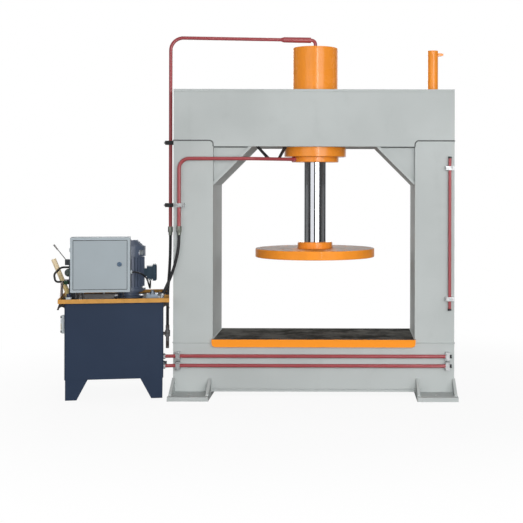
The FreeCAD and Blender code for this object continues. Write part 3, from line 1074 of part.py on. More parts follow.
def make_blocks():
    """The valve block at the right of the tray, and the hand valve, dial and knob at the left."""
    block = box("block_solid", ("block_u", "block_v", TRAY_TOP),
                ("block_length", "block_width", "block_height"))
    top = f"({TRAY_TOP} + block_height)"
    cartridges = []
    for number, share in enumerate((0.27, 0.73)):
        place = ("block_u + block_length / 2", f"block_v + block_width * {share}")
        cartridges.append(fuse(f"cartridge_{number}", [
            hexagon(f"cartridge_hex_{number}", (*place, top), "cartridge_radius", "cartridge_height"),
            cylinder(f"cartridge_cap_{number}", (*place, f"{top} + cartridge_height"),
                     "cartridge_radius * 0.7", "cartridge_cap")]))
    node("valve_block", together("valve_block_set", [block, *cartridges]), unit=True)
    arm = cylinder("outlet_arm", OUTLET, "hose_radius + hose_end_wall", "outlet_arm")
    turn(arm, "outlet_lean", (0, 1, 0))
    stub = cylinder("outlet_stub", ("block_u + block_length", OUTLET[1], OUTLET[2]), "outlet_stub_radius",
                    "outlet_reach", "x")
    ball = doc.addObject("Part::Sphere", "outlet_ball")
    bind(ball, "Radius", "outlet_ball_radius")
    move(ball, OUTLET)
    outlet = fuse("outlet_elbow", [arm, stub, ball])

    u, v = "valve_u", "valve_v"
    left = f"({u} - valve_width / 2)"
    front = f"({v} - valve_depth / 2)"
    valve_top = f"({TRAY_TOP} + valve_height)"
    pivot = ("pivot_u", f"({valve_top} - pivot_drop)")
    column = box("hand_valve_column", (left, front, TRAY_TOP), ("valve_width", "valve_depth", "valve_height"))
    head = box("hand_valve_head", (f"{left} - head_reach", front, f"{valve_top} - head_height"),
               ("head_reach", "valve_depth", "head_height"))
    dial_boss = box("dial_boss_block",
                    ("dial_u - dial_boss / 2", front, f"{TRAY_TOP} + dial_height - dial_boss / 2"),
                    (f"{u} - dial_u + dial_boss / 2", "valve_depth / 2", "dial_boss"))
    knob_arm = box("knob_arm_block", ("knob_u - knob_arm_reach", front,
                                      f"{TRAY_TOP} + knob_height - knob_arm / 2"),
                   (f"{u} - knob_u + knob_arm_reach", "valve_depth", "knob_arm"))
    knob_z = f"({TRAY_TOP} + knob_height)"
    stem = cylinder("knob_stem", ("knob_u", f"{front} - knob_stem", knob_z), "knob_stem_radius",
                    "knob_stem * 1.2", "y")
    fork = box("hand_valve_fork",
               (f"{left} - head_reach", f"{v} - lever_slot / 2", f"{pivot[1]} - lever_hub - slot_room"),
               (f"pivot_u + lever_hub + slot_room - {left} + head_reach", "lever_slot", "valve_height"))
    pin_length = "(lever_slot + 2 * lever_pin_reach)"
    pin_hole = cylinder("lever_pin_hole", (pivot[0], f"{v} - {pin_length} / 2 - 1", pivot[1]),
                        "lever_pin + fit_gap", f"{pin_length} + 2", "y")
    body = fuse("hand_valve_body", [column, head, dial_boss, knob_arm, stem])
    node("hand_valve", cut("hand_valve_slotted", body, [fork, pin_hole]), unit=True)
    hub = cylinder("lever_hub_round", (pivot[0], f"{v} - lever_slot / 2 + lever_gap", pivot[1]), "lever_hub",
                   "lever_slot - 2 * lever_gap", "y")
    pin = cylinder("lever_pin_bar", (pivot[0], f"{v} - {pin_length} / 2", pivot[1]), "lever_pin",
                   pin_length, "y")
    arm = cylinder("lever_arm", (pivot[0], v, pivot[1]), "lever_radius", "lever_length")
    turn(arm, "-lever_lean", (0, 1, 0))
    node("valve_lever", fuse("lever_whole", [hub, pin, arm]), unit=True)
    grip_start = "(lever_length - grip_length)"
    grip = cut("lever_grip_bored", cylinder("lever_grip_outer", ("0", "0", grip_start), "grip_radius",
                                            "grip_length + grip_end"),
               [cylinder("lever_grip_bore", ("0", "0", grip_start), "lever_radius + fit_gap", "grip_length")])
    move(grip, (pivot[0], v, pivot[1]))
    turn(grip, "-lever_lean", (0, 1, 0))
    node("lever_grip", together("lever_grip_placed", [grip]), unit=True)

    line_high = f"({TRAY_TOP} + line_high)"
    line_low = f"({TRAY_TOP} + line_low)"
    line = routed_pipe("gauge_line_bar", [
        (left, v, line_high), ("line_turn_u", v, line_high),
        ("line_far_u", v, f"{TRAY_TOP} + line_far_height"), ("line_back_u", v, line_low),
        ("knob_u - knob_arm_reach", v, line_low)],
        ["line_high_bend", "line_far_bend", "line_low_bend"], "line_radius")
    node("gauge_line", together("gauge_line_placed", [line]), unit=True)

    dial_z = f"({TRAY_TOP} + dial_height)"
    dial_v = f"({front} - dial_neck)"
    neck = cylinder("dial_neck_bar", ("dial_u", dial_v, dial_z), "dial_neck_radius", "dial_neck", "y")
    dial = cylinder("dial_case", ("dial_u", f"{dial_v} - dial_depth", dial_z), "dial_radius", "dial_depth",
                    "y")
    node("pressure_dial", fuse("dial_whole", [neck, dial]), unit=True)
    knob_v = f"({front} - knob_stem - knob_length)"
    knob = cylinder("knob_round", ("knob_u", knob_v, knob_z), "knob_radius", "knob_length", "y")
    flute_ring = "(knob_radius + flute_radius / 3)"
    flutes = []
    for number in range(int(value("flute_count"))):
        angle = f"({number} * 360 / flute_count)"
        place = (f"knob_u + {flute_ring} * cos({angle})", knob_v, f"{knob_z} + {flute_ring} * sin({angle})")
        flutes.append(cylinder(f"knob_flute_{number}", place, "flute_radius", "knob_length", "y"))
    node("relief_knob", cut("knob_fluted", knob, flutes), unit=True)

    tube = cylinder("tool_tube_bar", ("tube_u", "tube_v", f"{TRAY_TOP} + tube_start"), "tube_radius",
                    "tube_length")
    turn(tube, "-tube_lean", (0, 1, 0))
    foot = box("tool_tube_foot", ("tube_u - tube_foot / 2", "tube_v - tube_foot / 2", TRAY_TOP),
               ("tube_foot", "tube_foot", "tube_foot_height"))
    below = box("tool_tube_below",
                ("tube_u - 2 * tube_foot", "tube_v - tube_foot", f"{TRAY_TOP} - tube_foot"),
                ("4 * tube_foot", "2 * tube_foot", "tube_foot"))
    node("tool_tube", cut("tool_tube_seated", fuse("tool_tube_whole", [tube, foot]), [below]), unit=True)

    filler = ("filler_u", "filler_v")
    neck = cut("filler_neck", fuse("filler_neck_solid", [
        cylinder("filler_flange", (*filler, TRAY_TOP), "filler_radius + filler_flange_rim",
                 "filler_flange_height"),
        cylinder("filler_tube", (*filler, TRAY_TOP), "filler_radius", "filler_height")]),
        [cylinder("filler_bore", (*filler, TRAY_TOP), "filler_radius - filler_wall", "filler_height")])
    cap_low = f"({TRAY_TOP} + filler_height - filler_cap_cover)"
    node("filler_cap", cut("filler_cap_hollow", cylinder(
        "filler_cap_outer", (*filler, cap_low), "filler_cap_radius", "filler_cap_height"),
        [cylinder("filler_cap_inner", (*filler, cap_low), "filler_radius + filler_gap", "filler_cap_cover")]),
        unit=True)
    return [outlet, neck]


def make_cabinet():
    """The control cabinet: folded box on two stands, door with hinge pins and lock, and its insides."""
    u, v, z = "cabinet_u", "cabinet_v", CABINET_LOW
    wall = "cabinet_wall"
    rim = "cabinet_rim"
    door_room = "(door_depth + door_gap)"
    shell = hollow("cabinet_shell", (u, v, z), ("cabinet_width", "cabinet_depth", "cabinet_height"),
                   (f"{u} + {wall}", f"{v} + {door_room} + {wall}", f"{z} + {wall}"),
                   (f"cabinet_width - 2 * {wall}", f"cabinet_depth - {door_room} - 2 * {wall}",
                    f"cabinet_height - 2 * {wall}"))
    recess = box("cabinet_recess", (f"{u} + {rim}", v, f"{z} + {rim}"),
                 (f"cabinet_width - 2 * {rim}", door_room, f"cabinet_height - 2 * {rim}"))
    # the folded rim is hollow behind its face
    fold = f"({rim} - {wall})"
    channel = hollow("rim_channel", (f"{u} + {wall}", f"{v} + {wall}", f"{z} + {wall}"),
                     (f"cabinet_width - 2 * {wall}", door_room, f"cabinet_height - 2 * {wall}"),
                     (f"{u} + {fold}", f"{v} + {wall}", f"{z} + {fold}"),
                     (f"cabinet_width - 2 * {fold}", door_room, f"cabinet_height - 2 * {fold}"))
    stop = f"({rim} + cabinet_lip)"
    mouth = box("cabinet_mouth", (f"{u} + {stop}", v, f"{z} + {stop}"),
                (f"cabinet_width - 2 * {stop}", f"{door_room} + {wall}", f"cabinet_height - 2 * {stop}"))
    inset = f"({rim} + door_gap)"
    hinge = (f"{u} + {inset} + hinge_u", f"{v} + hinge_v")
    pins = [cylinder("hinge_pin_low", (*hinge, f"{z} + {rim}"), "hinge_radius", "door_gap + hinge_reach"),
            cylinder("hinge_pin_high", (*hinge, f"{z} + cabinet_height - {inset} - hinge_reach"),
                     "hinge_radius", "door_gap + hinge_reach")]
    node("cabinet_body", fuse("cabinet_with_pins", [
        cut("cabinet_open", shell, [recess, channel, mouth]), *pins]), unit=True)

    door_w = f"(cabinet_width - 2 * {inset})"
    door_h = f"(cabinet_height - 2 * {inset})"
    door_u = f"({u} + {inset})"
    door_z = f"({z} + {inset})"
    lock_z = f"({z} + lock_height)"
    pan = hollow("door_pan", (door_u, v, door_z), (door_w, "door_depth", door_h),
                 (f"{door_u} + door_sheet", f"{v} + door_sheet", f"{door_z} + door_sheet"),
                 (f"{door_w} - 2 * door_sheet", "door_depth", f"{door_h} - 2 * door_sheet"))
    lock_hole = cylinder("door_lock_hole", ("lock_u", v, lock_z), "lock_radius - lock_rim", "door_sheet", "y")
    pin_hole = cylinder("door_pin_hole", (*hinge, door_z), "hinge_radius + fit_gap", door_h)
    node("cabinet_door", cut("door_pierced", pan, [lock_hole, pin_hole]), unit=True)
    cam = fuse("lock_whole", [
        cylinder("lock_head", ("lock_u", f"{v} - lock_depth", lock_z), "lock_radius", "lock_depth", "y"),
        cylinder("lock_barrel_bar", ("lock_u", v, lock_z), "lock_radius - lock_rim - fit_gap", "lock_barrel",
                 "y")])
    slot = box("lock_slot",
               ("lock_u - lock_slot_width / 2", f"{v} - lock_depth", f"{lock_z} - lock_slot_length / 2"),
               ("lock_slot_width", "lock_depth / 2", "lock_slot_length"))
    node("door_lock", cut("lock_slotted", cam, [slot]), unit=True)
    stands = []
    for number, place in enumerate(("cabinet_u + stand_inset",
                                    "cabinet_u + cabinet_width - stand_inset - stand_width")):
        stands.append(hollow(f"cabinet_stand_{number}", (place, f"{v} + stand_setback", TRAY_TOP),
                             ("stand_width", "cabinet_depth - 2 * stand_setback", "stand_height"),
                             (f"{place} + stand_wall", f"{v} + stand_setback", f"{TRAY_TOP} + stand_wall"),
                             ("stand_width - 2 * stand_wall", "cabinet_depth - 2 * stand_setback",
                              "stand_height - 2 * stand_wall")))
    node("cabinet_stands", together("cabinet_stand_set", stands), unit=True)

    back_v = f"({v} + cabinet_depth - {wall} - back_plate_standoff - back_plate)"
    inner_u = f"({u} + back_plate_inset)"
    inner_z = f"({z} + back_plate_inset)"
    plate_w = "(cabinet_width - 2 * back_plate_inset)"
    plate_h = "(cabinet_height - 2 * back_plate_inset)"
    plate = box("back_plate_sheet", (inner_u, back_v, inner_z), (plate_w, "back_plate", plate_h))
    posts = [cylinder(f"back_plate_post_{number}", (
        f"{inner_u} + back_post_inset + {side} * ({plate_w} - 2 * back_post_inset)", f"{back_v} + back_plate",
        f"{inner_z} + back_post_inset + {row} * ({plate_h} - 2 * back_post_inset)"), "back_post_radius",
        "back_plate_standoff", "y")
        for number, (side, row) in enumerate(((0, 0), (1, 0), (0, 1), (1, 1)))]
    # each device on its plate as shares of the plate: left, width, low, height
    devices = []
    for name, place, width, low, high in (
            ("breaker", 0.09, 0.17, 0.65, 0.27), ("contactor", 0.35, 0.16, 0.65, 0.25),
            ("relay", 0.6, 0.12, 0.66, 0.23), ("terminals", 0.11, 0.7, 0.18, 0.13)):
        devices.append(box(f"{name}_block", (f"{inner_u} + {place} * {plate_w}", f"{back_v} - device_depth",
                                             f"{inner_z} + {low} * {plate_h}"),
                           (f"{width} * {plate_w}", "device_depth", f"{high} * {plate_h}")))
    mounting = fuse("mounting_plate", [plate, *posts])
    node("switch_gear", together("switch_gear_set", [mounting, *devices]), unit=True)


def make_glands():
    """The cable glands on the cabinet's two sides and under the terminal box."""
    exit_z = f"{CABINET_LOW} + cable_exit_height"
    glands = [
        hexagon("cable_gland_left", ("cabinet_u - gland_length", "cabinet_v + left_gland_v",
                                     f"{CABINET_LOW} + left_gland_height"), "gland_nut", "gland_length", "x"),
        hexagon("cable_gland_right", ("cabinet_u + cabinet_width", "cable_exit_v", exit_z), "gland_nut",
                "gland_length", "x"),
        hexagon("cable_gland_box", (f"{TERMINAL_U} + cable_entry_u", f"{TERMINAL_V} + cable_entry_v",
                                    "terminal_low - gland_length"), "gland_nut", "gland_length")]
    node("cable_glands", together("cable_gland_set", glands), unit=True)


def in_world(u, v, z):
    """A place of the power unit's own frame, in the press's frame."""
    angle = math.radians(value("unit_turn"))
    x = value(UNIT_X) + value(u) * math.cos(angle) - value(v) * math.sin(angle)
    y = value(UNIT_Y) + value(u) * math.sin(angle) + value(v) * math.cos(angle)
    return (x, y, value(z))


def make_hoses():
    """The free hoses from the pipes to the power unit, and the motor's cable, point by point."""
    radius = value("hose_radius")
    x, y, top = value("-top_pipe_x"), value("-top_pipe_y"), value("top_pipe_end - hose_end_length")
    port = in_world("tank_length + return_reach", "return_v",
                    "return_height + return_ball_height / 2 + return_neck")
    hose("hose_return", [
        (x, y, top), (x, y, top - 92), (x - 3, y - 6, top - 220), (x - 9, y - 19, top - 336),
        (port[0], port[1], port[2] + 238), port], radius)
    x, y, top = value("-gland_pipe_x"), value(f"-{GLAND_PIPE_Y}"), value("gland_pipe_end - hose_end_length")
    turn_angle = math.radians(value("unit_turn"))
    lean = math.radians(value("outlet_lean"))
    aim = (math.sin(lean) * math.cos(turn_angle), math.sin(lean) * math.sin(turn_angle), math.cos(lean))
    centre = in_world(*OUTLET)
    tip = tuple(place + value("outlet_arm") * part for place, part in zip(centre, aim))
    last = tuple(place + value("hose_lead") * part for place, part in zip(tip, aim))
    hose("hose_pressure", [
        (x, y, top), (x, y, top - 73), (x - 16, y + 1, top - 168), (x - 52, y + 4, top - 288), last, tip],
        radius)
    # the cable leaves the cabinet, falls past the motor and turns up into the terminal box in a half circle
    start = ("cabinet_u + cabinet_width + gland_length", "cable_exit_v", f"{CABINET_LOW} + cable_exit_height")
    entry_u = f"({TERMINAL_U} + cable_entry_u)"
    entry_v = f"({TERMINAL_V} + cable_entry_v)"
    entry_z = "(terminal_low - gland_length)"
    corner = "(cable_turn / cos(30))"
    hose("motor_cable", [
        in_world(*start), in_world(f"{start[0]} + 32", start[1], start[2]),
        in_world(f"{start[0]} + 72", "cable_exit_v + 34", f"{start[2]} - 18"),
        in_world(f"{entry_u} - 22", f"{entry_v} - 2 * cable_turn - 16", f"{entry_z} + 24"),
        in_world(f"{entry_u} - 8", f"{entry_v} - 2 * cable_turn", f"{entry_z} - {corner} / 2"),
        in_world(entry_u, f"{entry_v} - cable_turn", f"{entry_z} - {corner}"),
        in_world(entry_u, entry_v, f"{entry_z} - {corner} / 2"), in_world(entry_u, entry_v, entry_z)],
        value("cable_radius"))


make_frame()
make_post()
make_cylinder()
make_ram()
make_top_pipe()
make_gland_pipe()
clamp_blocks, clamp_bolts = make_clamps()
tank_unions = make_front_pipes(clamp_blocks, clamp_bolts)
tank_ports = make_tank()
make_motor()
block_ports = make_blocks()
node("tank_fittings", together("tank_fitting_set", tank_unions + tank_ports + block_ports), unit=True)
make_cabinet()
make_glands()
make_hoses()
doc.recompute()

failed = [part.Name for part in doc.Objects if {"Invalid", "Error"} & set(part.State)]
if failed:
    raise RuntimeError(f"these objects failed: {failed}")
for part in NODES:
    if part.Shape.isNull() or not part.Shape.isValid() or not part.Shape.Solids:
        raise RuntimeError(f"{part.Label} has no valid solid")
for part in NODES:
    part.Shape.exportStep(f"parts/{part.Label}.step")
print(f"{len(NODES)} sub-parts written")
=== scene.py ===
"""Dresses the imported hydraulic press: finishes, weld beads, hoses, cable, small parts, light and camera."""

import math

import bpy
import numpy as np
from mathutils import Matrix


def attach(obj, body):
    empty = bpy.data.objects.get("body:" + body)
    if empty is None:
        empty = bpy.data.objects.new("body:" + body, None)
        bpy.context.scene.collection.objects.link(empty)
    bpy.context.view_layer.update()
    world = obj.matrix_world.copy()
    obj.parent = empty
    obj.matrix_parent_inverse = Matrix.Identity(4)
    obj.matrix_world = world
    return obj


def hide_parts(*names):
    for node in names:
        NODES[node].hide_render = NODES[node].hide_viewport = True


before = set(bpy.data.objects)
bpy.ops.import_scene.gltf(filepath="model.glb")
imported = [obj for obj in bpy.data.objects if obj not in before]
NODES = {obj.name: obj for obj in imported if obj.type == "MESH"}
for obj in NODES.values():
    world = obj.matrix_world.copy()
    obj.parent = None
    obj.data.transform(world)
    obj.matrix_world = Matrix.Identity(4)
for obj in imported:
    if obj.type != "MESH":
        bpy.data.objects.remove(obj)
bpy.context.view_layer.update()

bl_info = {
    "name": "Hydraulic Press Finisher",
    "version": (1, 0, 0),
    "blender": (4, 5, 0),
    "location": "3D View > Sidebar > Press",
    "description": "Finishes and small parts of a gantry hydraulic press with its power unit",
    "category": "Object",
}

WHITE = (1.0, 1.0, 1.0)
# Directions: up, and through the press from front to back.
UP = (0.0, 0.0, 1.0)
DEPTH = (0.0, 1.0, 0.0)

# The power unit stands turned about the vertical, from its tank's front left corner on the floor. Its own
# places are (along, deep, up) from that corner.
UNIT_CORNER = (-1.774028, -0.493)
UNIT_TURN = math.radians(9.5)
UNIT_ALONG = (math.cos(UNIT_TURN), math.sin(UNIT_TURN), 0.0)
UNIT_DEEP = (-math.sin(UNIT_TURN), math.cos(UNIT_TURN), 0.0)
MOTOR_AXIS = (0.441, 0.336, 0.0)
DIAL_ALONG, DIAL_FACE, DIAL_HEIGHT = 0.009, 0.2445, 0.895
GAUGE_FACE, GAUGE_DEEP = -0.025, 0.073
GAUGE_OIL = 0.546
FILLER_FOOT = (0.025, 0.056, 0.703)
RETURN_PORT = (0.728, 0.213, 0.5)
RETURN_STRAIGHT = 0.738          # height from which the return hose hangs straight down to its port
ELBOW_FOOT = (0.683, 0.068, 0.723)
ELBOW_LEAN = math.radians(25.0)
ELBOW_ARM = 0.030

# The frame's seams, from the middle of the press on the floor.
FRAME_SIDE = 1.030
FRAME_FACE = 0.285
COLUMN_INNER = 0.740
GUSSET_FACE = 0.235
GUSSET_END = 0.486
BASE_SEAM, BASE_SEAM_END = 0.052, 0.79
FOOT_SEAM, FOOT_SEAM_END = 0.388, 0.756
BED_SEAM = 0.415
HEAD_SEAM, HEAD_BEND = 1.870, 0.028
BEAM_UNDERSIDE = 1.827
TOP_SEAM, TOP_SEAM_RADIUS = 2.229, 0.0022
BEAM_TOP = 2.247
POST_ALONG, POST_SEAM_RADIUS = 0.892, 0.057

# Each soft box: name, place, size, watts, and whether metal mirrors it.
PANEL_AIM = (0.0, 0.0, 1.3)
PANELS = (
    ("left_panel", (-3.3, -6.3, 2.1), (4.8, 3.7), 67.0, True),
    ("left_strip", (-5.1, -4.9, 2.1), (0.5, 3.7), 15.0, False),
    ("right_panel", (3.15, -6.2, 2.1), (4.1, 3.7), 154.0, True),
    ("right_strip", (1.56, -7.0, 2.1), (0.46, 3.7), 80.0, True),
    ("front_fill", (0.6, -9.5, 1.7), (2.4, 2.0), 275.0, False),
    ("left_side", (-8.0, 2.6, 3.0), (3.0, 3.0), 165.0, False),
    ("right_side", (8.0, 2.6, 3.0), (3.0, 3.0), 130.0, False),
    ("top_panel", (0.0, 0.4, 8.2), (5.0, 5.0), 90.0, True),
    ("back_panel", (-1.0, 9.0, 4.0), (5.0, 3.5), 200.0, True),
)


def unit_point(u, v, z):
    """A place of the power unit's own frame (along, deep, up) in the press's frame."""
    x = UNIT_CORNER[0] + u * math.cos(UNIT_TURN) - v * math.sin(UNIT_TURN)
    y = UNIT_CORNER[1] + u * math.sin(UNIT_TURN) + v * math.cos(UNIT_TURN)
    return (x, y, z)


def opposite(direction):
    """The direction that looks the other way."""
    return tuple(-part for part in direction)


# ---------------------------------------------------------------- shader maths


class Link:
    """A node's output on which Python's own signs add Math nodes."""

    def __init__(self, finish, socket):
        self.finish = finish
        self.socket = socket

    def __add__(self, other):
        return self.finish.math("ADD", self, other)

    def __sub__(self, other):
        return self.finish.math("SUBTRACT", self, other)

    def __rsub__(self, other):
        return self.finish.math("SUBTRACT", other, self)

    def __mul__(self, other):
        return self.finish.math("MULTIPLY", self, other)

    def __truediv__(self, other):
        return self.finish.math("DIVIDE", self, other)

    __radd__ = __add__
    __rmul__ = __mul__


class Finish:
    """A material, or the world, that is being built from nodes."""

    def __init__(self, name, owners=None, space="Object"):
        self.owner = (bpy.data.materials if owners is None else owners).new(name)
        self.owner.use_nodes = True
        self.tree = self.owner.node_tree
        self.tree.nodes.clear()
        self.place = self.add("ShaderNodeTexCoord", outlet=space)

    def add(self, kind, settings=None, sockets=None, outlet=0):
        """Add a node: its settings first, then the values or links of its sockets."""
        node = self.tree.nodes.new(kind)
        for key, setting in (settings or {}).items():
            setattr(node, key, setting)
        for key, given in (sockets or {}).items():
            self.feed(node.inputs[key], given)
        return Link(self, node.outputs[outlet])

    def feed(self, socket, given):
        """Link a socket, or set its value, where a colour of three parts becomes opaque."""
        if isinstance(given, Link):
            self.tree.links.new(given.socket, socket)
        elif hasattr(given, "__len__") and len(given) == 3 and len(socket.default_value) == 4:
            socket.default_value = (*given, 1.0)
        else:
            socket.default_value = given

    def math(self, operation, first, second=0.0, clamp=False):
        """One Math node."""
        return self.add("ShaderNodeMath", {"operation": operation, "use_clamp": clamp}, {0: first, 1: second})

    def clamp(self, factor):
        """Keep a factor between 0 and 1."""
        return self.math("ADD", factor, 0.0, clamp=True)

    def step(self, factor, low, high):
        """Rise smoothly from 0 at low to 1 at high."""
        return self.add("ShaderNodeMapRange", {"interpolation_type": "SMOOTHSTEP"},
                        {"Value": factor, "From Min": low, "From Max": high})

    def drop(self, factor, low, high):
        """Fall smoothly from 1 at low to 0 at high."""
        return 1.0 - self.step(factor, low, high)

    def mix(self, factor, first, second):
        """Mix two colours."""
        return self.add("ShaderNodeMix", {"data_type": "RGBA"}, {0: factor, 6: first, 7: second}, outlet=2)

    def scaled(self, scale, place=None):
        """The place, stretched by a scale of its own along each axis."""
        return self.add("ShaderNodeVectorMath", {"operation": "MULTIPLY"}, {0: place or self.place, 1: scale})

    def noise(self, scale, detail, rough=0.5, place=None):
        """A cloudy factor about 0.5."""
        return self.add("ShaderNodeTexNoise", sockets={
            "Vector": place or self.place, "Scale": scale, "Detail": detail, "Roughness": rough})

    def grain(self, scale, place=None):
        """Distance to the nearest of many scattered points."""
        return self.add("ShaderNodeTexVoronoi", sockets={"Vector": place or self.place, "Scale": scale})

    def axis(self, letter, place=None):
        """One coordinate of a place or direction."""
        return self.add("ShaderNodeSeparateXYZ", sockets={0: place or self.place}, outlet=letter)

    def facing(self, letter):
        """How much the surface looks along an axis, from -1 to 1."""
        return self.axis(letter, self.add("ShaderNodeNewGeometry", outlet="Normal"))

    def bump(self, height, distance):
        """A normal that a height factor tilts; the distance is in metres."""
        return self.add("ShaderNodeBump", sockets={"Strength": 1.0, "Distance": distance, "Height": height})

    def ray(self, kind):
        """1 for rays of one kind, such as Is Camera Ray."""
        return self.add("ShaderNodeLightPath", outlet=kind)

    def surface(self, sockets):
        """Close the material with one Principled shader."""
        return self.close(self.add("ShaderNodeBsdfPrincipled", sockets=sockets))

    def close(self, shader, output="ShaderNodeOutputMaterial"):
        """Link the last shader to the output."""
        self.tree.links.new(shader.socket, self.tree.nodes.new(output).inputs["Surface"])
        return self.owner


def darker(colour, share):
    """A colour with each part times a share; a share over 1 makes it lighter."""
    return tuple(part * share for part in colour)


# ---------------------------------------------------------------- finishes


def sprayed_paint(name, colour, roughness, coat, dirt, peel=0.00012, patch=0.06, sheen=0.5):
    """Sprayed machine paint: slow changes of tone, a fine orange peel, dull patches and settled dirt."""
    finish = Finish(name)
    slow = finish.noise(2.3, 2.0)
    middle = finish.noise(11.0, 5.0, 0.6)
    fine = finish.noise(260.0, 2.0)
    tone = finish.mix(finish.step(slow, 0.3, 0.7),
                      darker(colour, 1.0 - patch), darker(colour, 1.0 + patch * 0.4))
    runs = finish.noise(7.0, 4.0, 0.55, finish.scaled((1.0, 1.0, 0.12)))
    stain = finish.step(runs * 0.6 + middle * 0.4, 0.52, 0.74) * dirt
    tone = finish.mix(stain, tone, darker(colour, 0.55))
    specks = finish.drop(finish.grain(85.0), 0.02, 0.09) * finish.step(middle, 0.5, 0.62) * (dirt * 1.4)
    tone = finish.mix(finish.clamp(specks), tone, darker(colour, 0.35))
    height = fine * 0.6 + finish.noise(70.0, 2.0) * 0.4
    return finish.surface({
        "Base Color": tone, "Roughness": finish.clamp(middle * 0.22 + (roughness - 0.1) + stain * 0.5),
        "Coat Weight": coat, "Coat Roughness": 0.2, "Specular IOR Level": sheen,
        "Normal": finish.bump(height, peel)})


def bright_steel(name, colour, roughness):
    """Bright metal with brushed streaks, duller spots and a few dark stains."""
    finish = Finish(name)
    streaks = finish.noise(220.0, 3.0, 0.6, finish.scaled((1.0, 1.0, 0.05)))
    spots = finish.noise(38.0, 4.0, 0.6)
    tone = finish.mix(finish.step(spots, 0.45, 0.75), colour, darker(colour, 0.6))
    return finish.surface({
        "Base Color": tone, "Metallic": 1.0,
        "Roughness": finish.clamp(streaks * 0.2 + spots * 0.2 + (roughness - 0.18)),
        "Normal": finish.bump(streaks, 0.00006)})


def hard_chrome(name):
    """Polished chrome with an oil film that runs down it and faint turned rings."""
    finish = Finish(name)
    film = finish.noise(9.0, 4.0, 0.6, finish.scaled((1.0, 1.0, 0.08)))
    rings = finish.noise(900.0, 1.0, 0.5, finish.scaled((0.02, 0.02, 1.0)))
    tone = finish.mix(finish.step(film, 0.4, 0.7), (0.6, 0.61, 0.65), (0.5, 0.51, 0.54))
    return finish.surface({
        "Base Color": tone, "Metallic": 1.0, "Roughness": finish.clamp(film * 0.12 + 0.04),
        "Normal": finish.bump(rings, 0.000002)})


def fitting_steel(name):
    """Pipe fittings of the tank: zinc above the tray and at its foot, dark lifting lugs, a rusty valve."""
    finish = Finish(name)
    rust = finish.noise(32.0, 5.0, 0.65)
    height = finish.axis("Z")
    above = finish.step(height, 0.695, 0.705)
    foot = finish.drop(height, 0.325, 0.33)
    valve = finish.mix(finish.step(rust, 0.42, 0.58), (0.2, 0.2, 0.21), (0.07, 0.05, 0.042))
    lugs = finish.mix(finish.step(rust, 0.45, 0.7), (0.02, 0.018, 0.018), (0.06, 0.035, 0.022))
    zinc = finish.mix(finish.step(rust, 0.5, 0.75), (0.6, 0.62, 0.64), (0.35, 0.35, 0.34))
    bright = finish.clamp(above + foot)
    tone = finish.mix(finish.step(height, 0.6, 0.61), valve, lugs)
    return finish.surface({
        "Base Color": finish.mix(bright, tone, zinc), "Metallic": bright * 0.8,
        "Roughness": finish.clamp(rust * 0.25 + 0.3), "Normal": finish.bump(rust, 0.0001)})


def rolled_card(name):
    """A tool tube of pale card: a slow yellowing towards its foot and a fine spiral of its wound strips."""
    finish = Finish(name)
    age = finish.step(finish.axis("Z") + finish.noise(9.0, 4.0) * 0.14, 0.82, 1.04)
    strips = finish.noise(60.0, 3.0, 0.5, finish.scaled((0.3, 0.3, 1.6)))
    tone = finish.mix(age, (0.8, 0.62, 0.27), (0.95, 0.78, 0.52))
    tone = finish.mix(finish.step(strips, 0.5, 0.7) * 0.3, tone, (0.62, 0.5, 0.28))
    return finish.surface({
        "Base Color": tone, "Roughness": finish.clamp(strips * 0.2 + 0.5),
        "Normal": finish.bump(strips, 0.0002)})


def oil_window(name):
    """The level gauge's window: amber oil up to a level, and clear pale plastic over it."""
    finish = Finish(name)
    height = finish.axis("Z") + finish.noise(30.0, 2.0) * 0.002
    level = finish.step(height, GAUGE_OIL - 0.001, GAUGE_OIL + 0.001)
    tone = finish.mix(level, (0.55, 0.5, 0.36), (0.7, 0.76, 0.78))
    return finish.surface({"Base Color": tone, "Roughness": 0.12, "Coat Weight": 0.6})


def moulded(name, colour, roughness):
    """Moulded plastic or rubber: an even colour, a fine grain and a little dust."""
    finish = Finish(name)
    dust = finish.noise(24.0, 5.0, 0.65)
    fine = finish.noise(700.0, 2.0)
    tone = finish.mix(finish.step(dust, 0.5, 0.8) * 0.5, colour, tuple(part * 0.6 + 0.09 for part in colour))
    return finish.surface({
        "Base Color": tone, "Roughness": finish.clamp(dust * 0.25 + (roughness - 0.12)),
        "Normal": finish.bump(fine, 0.00008)})


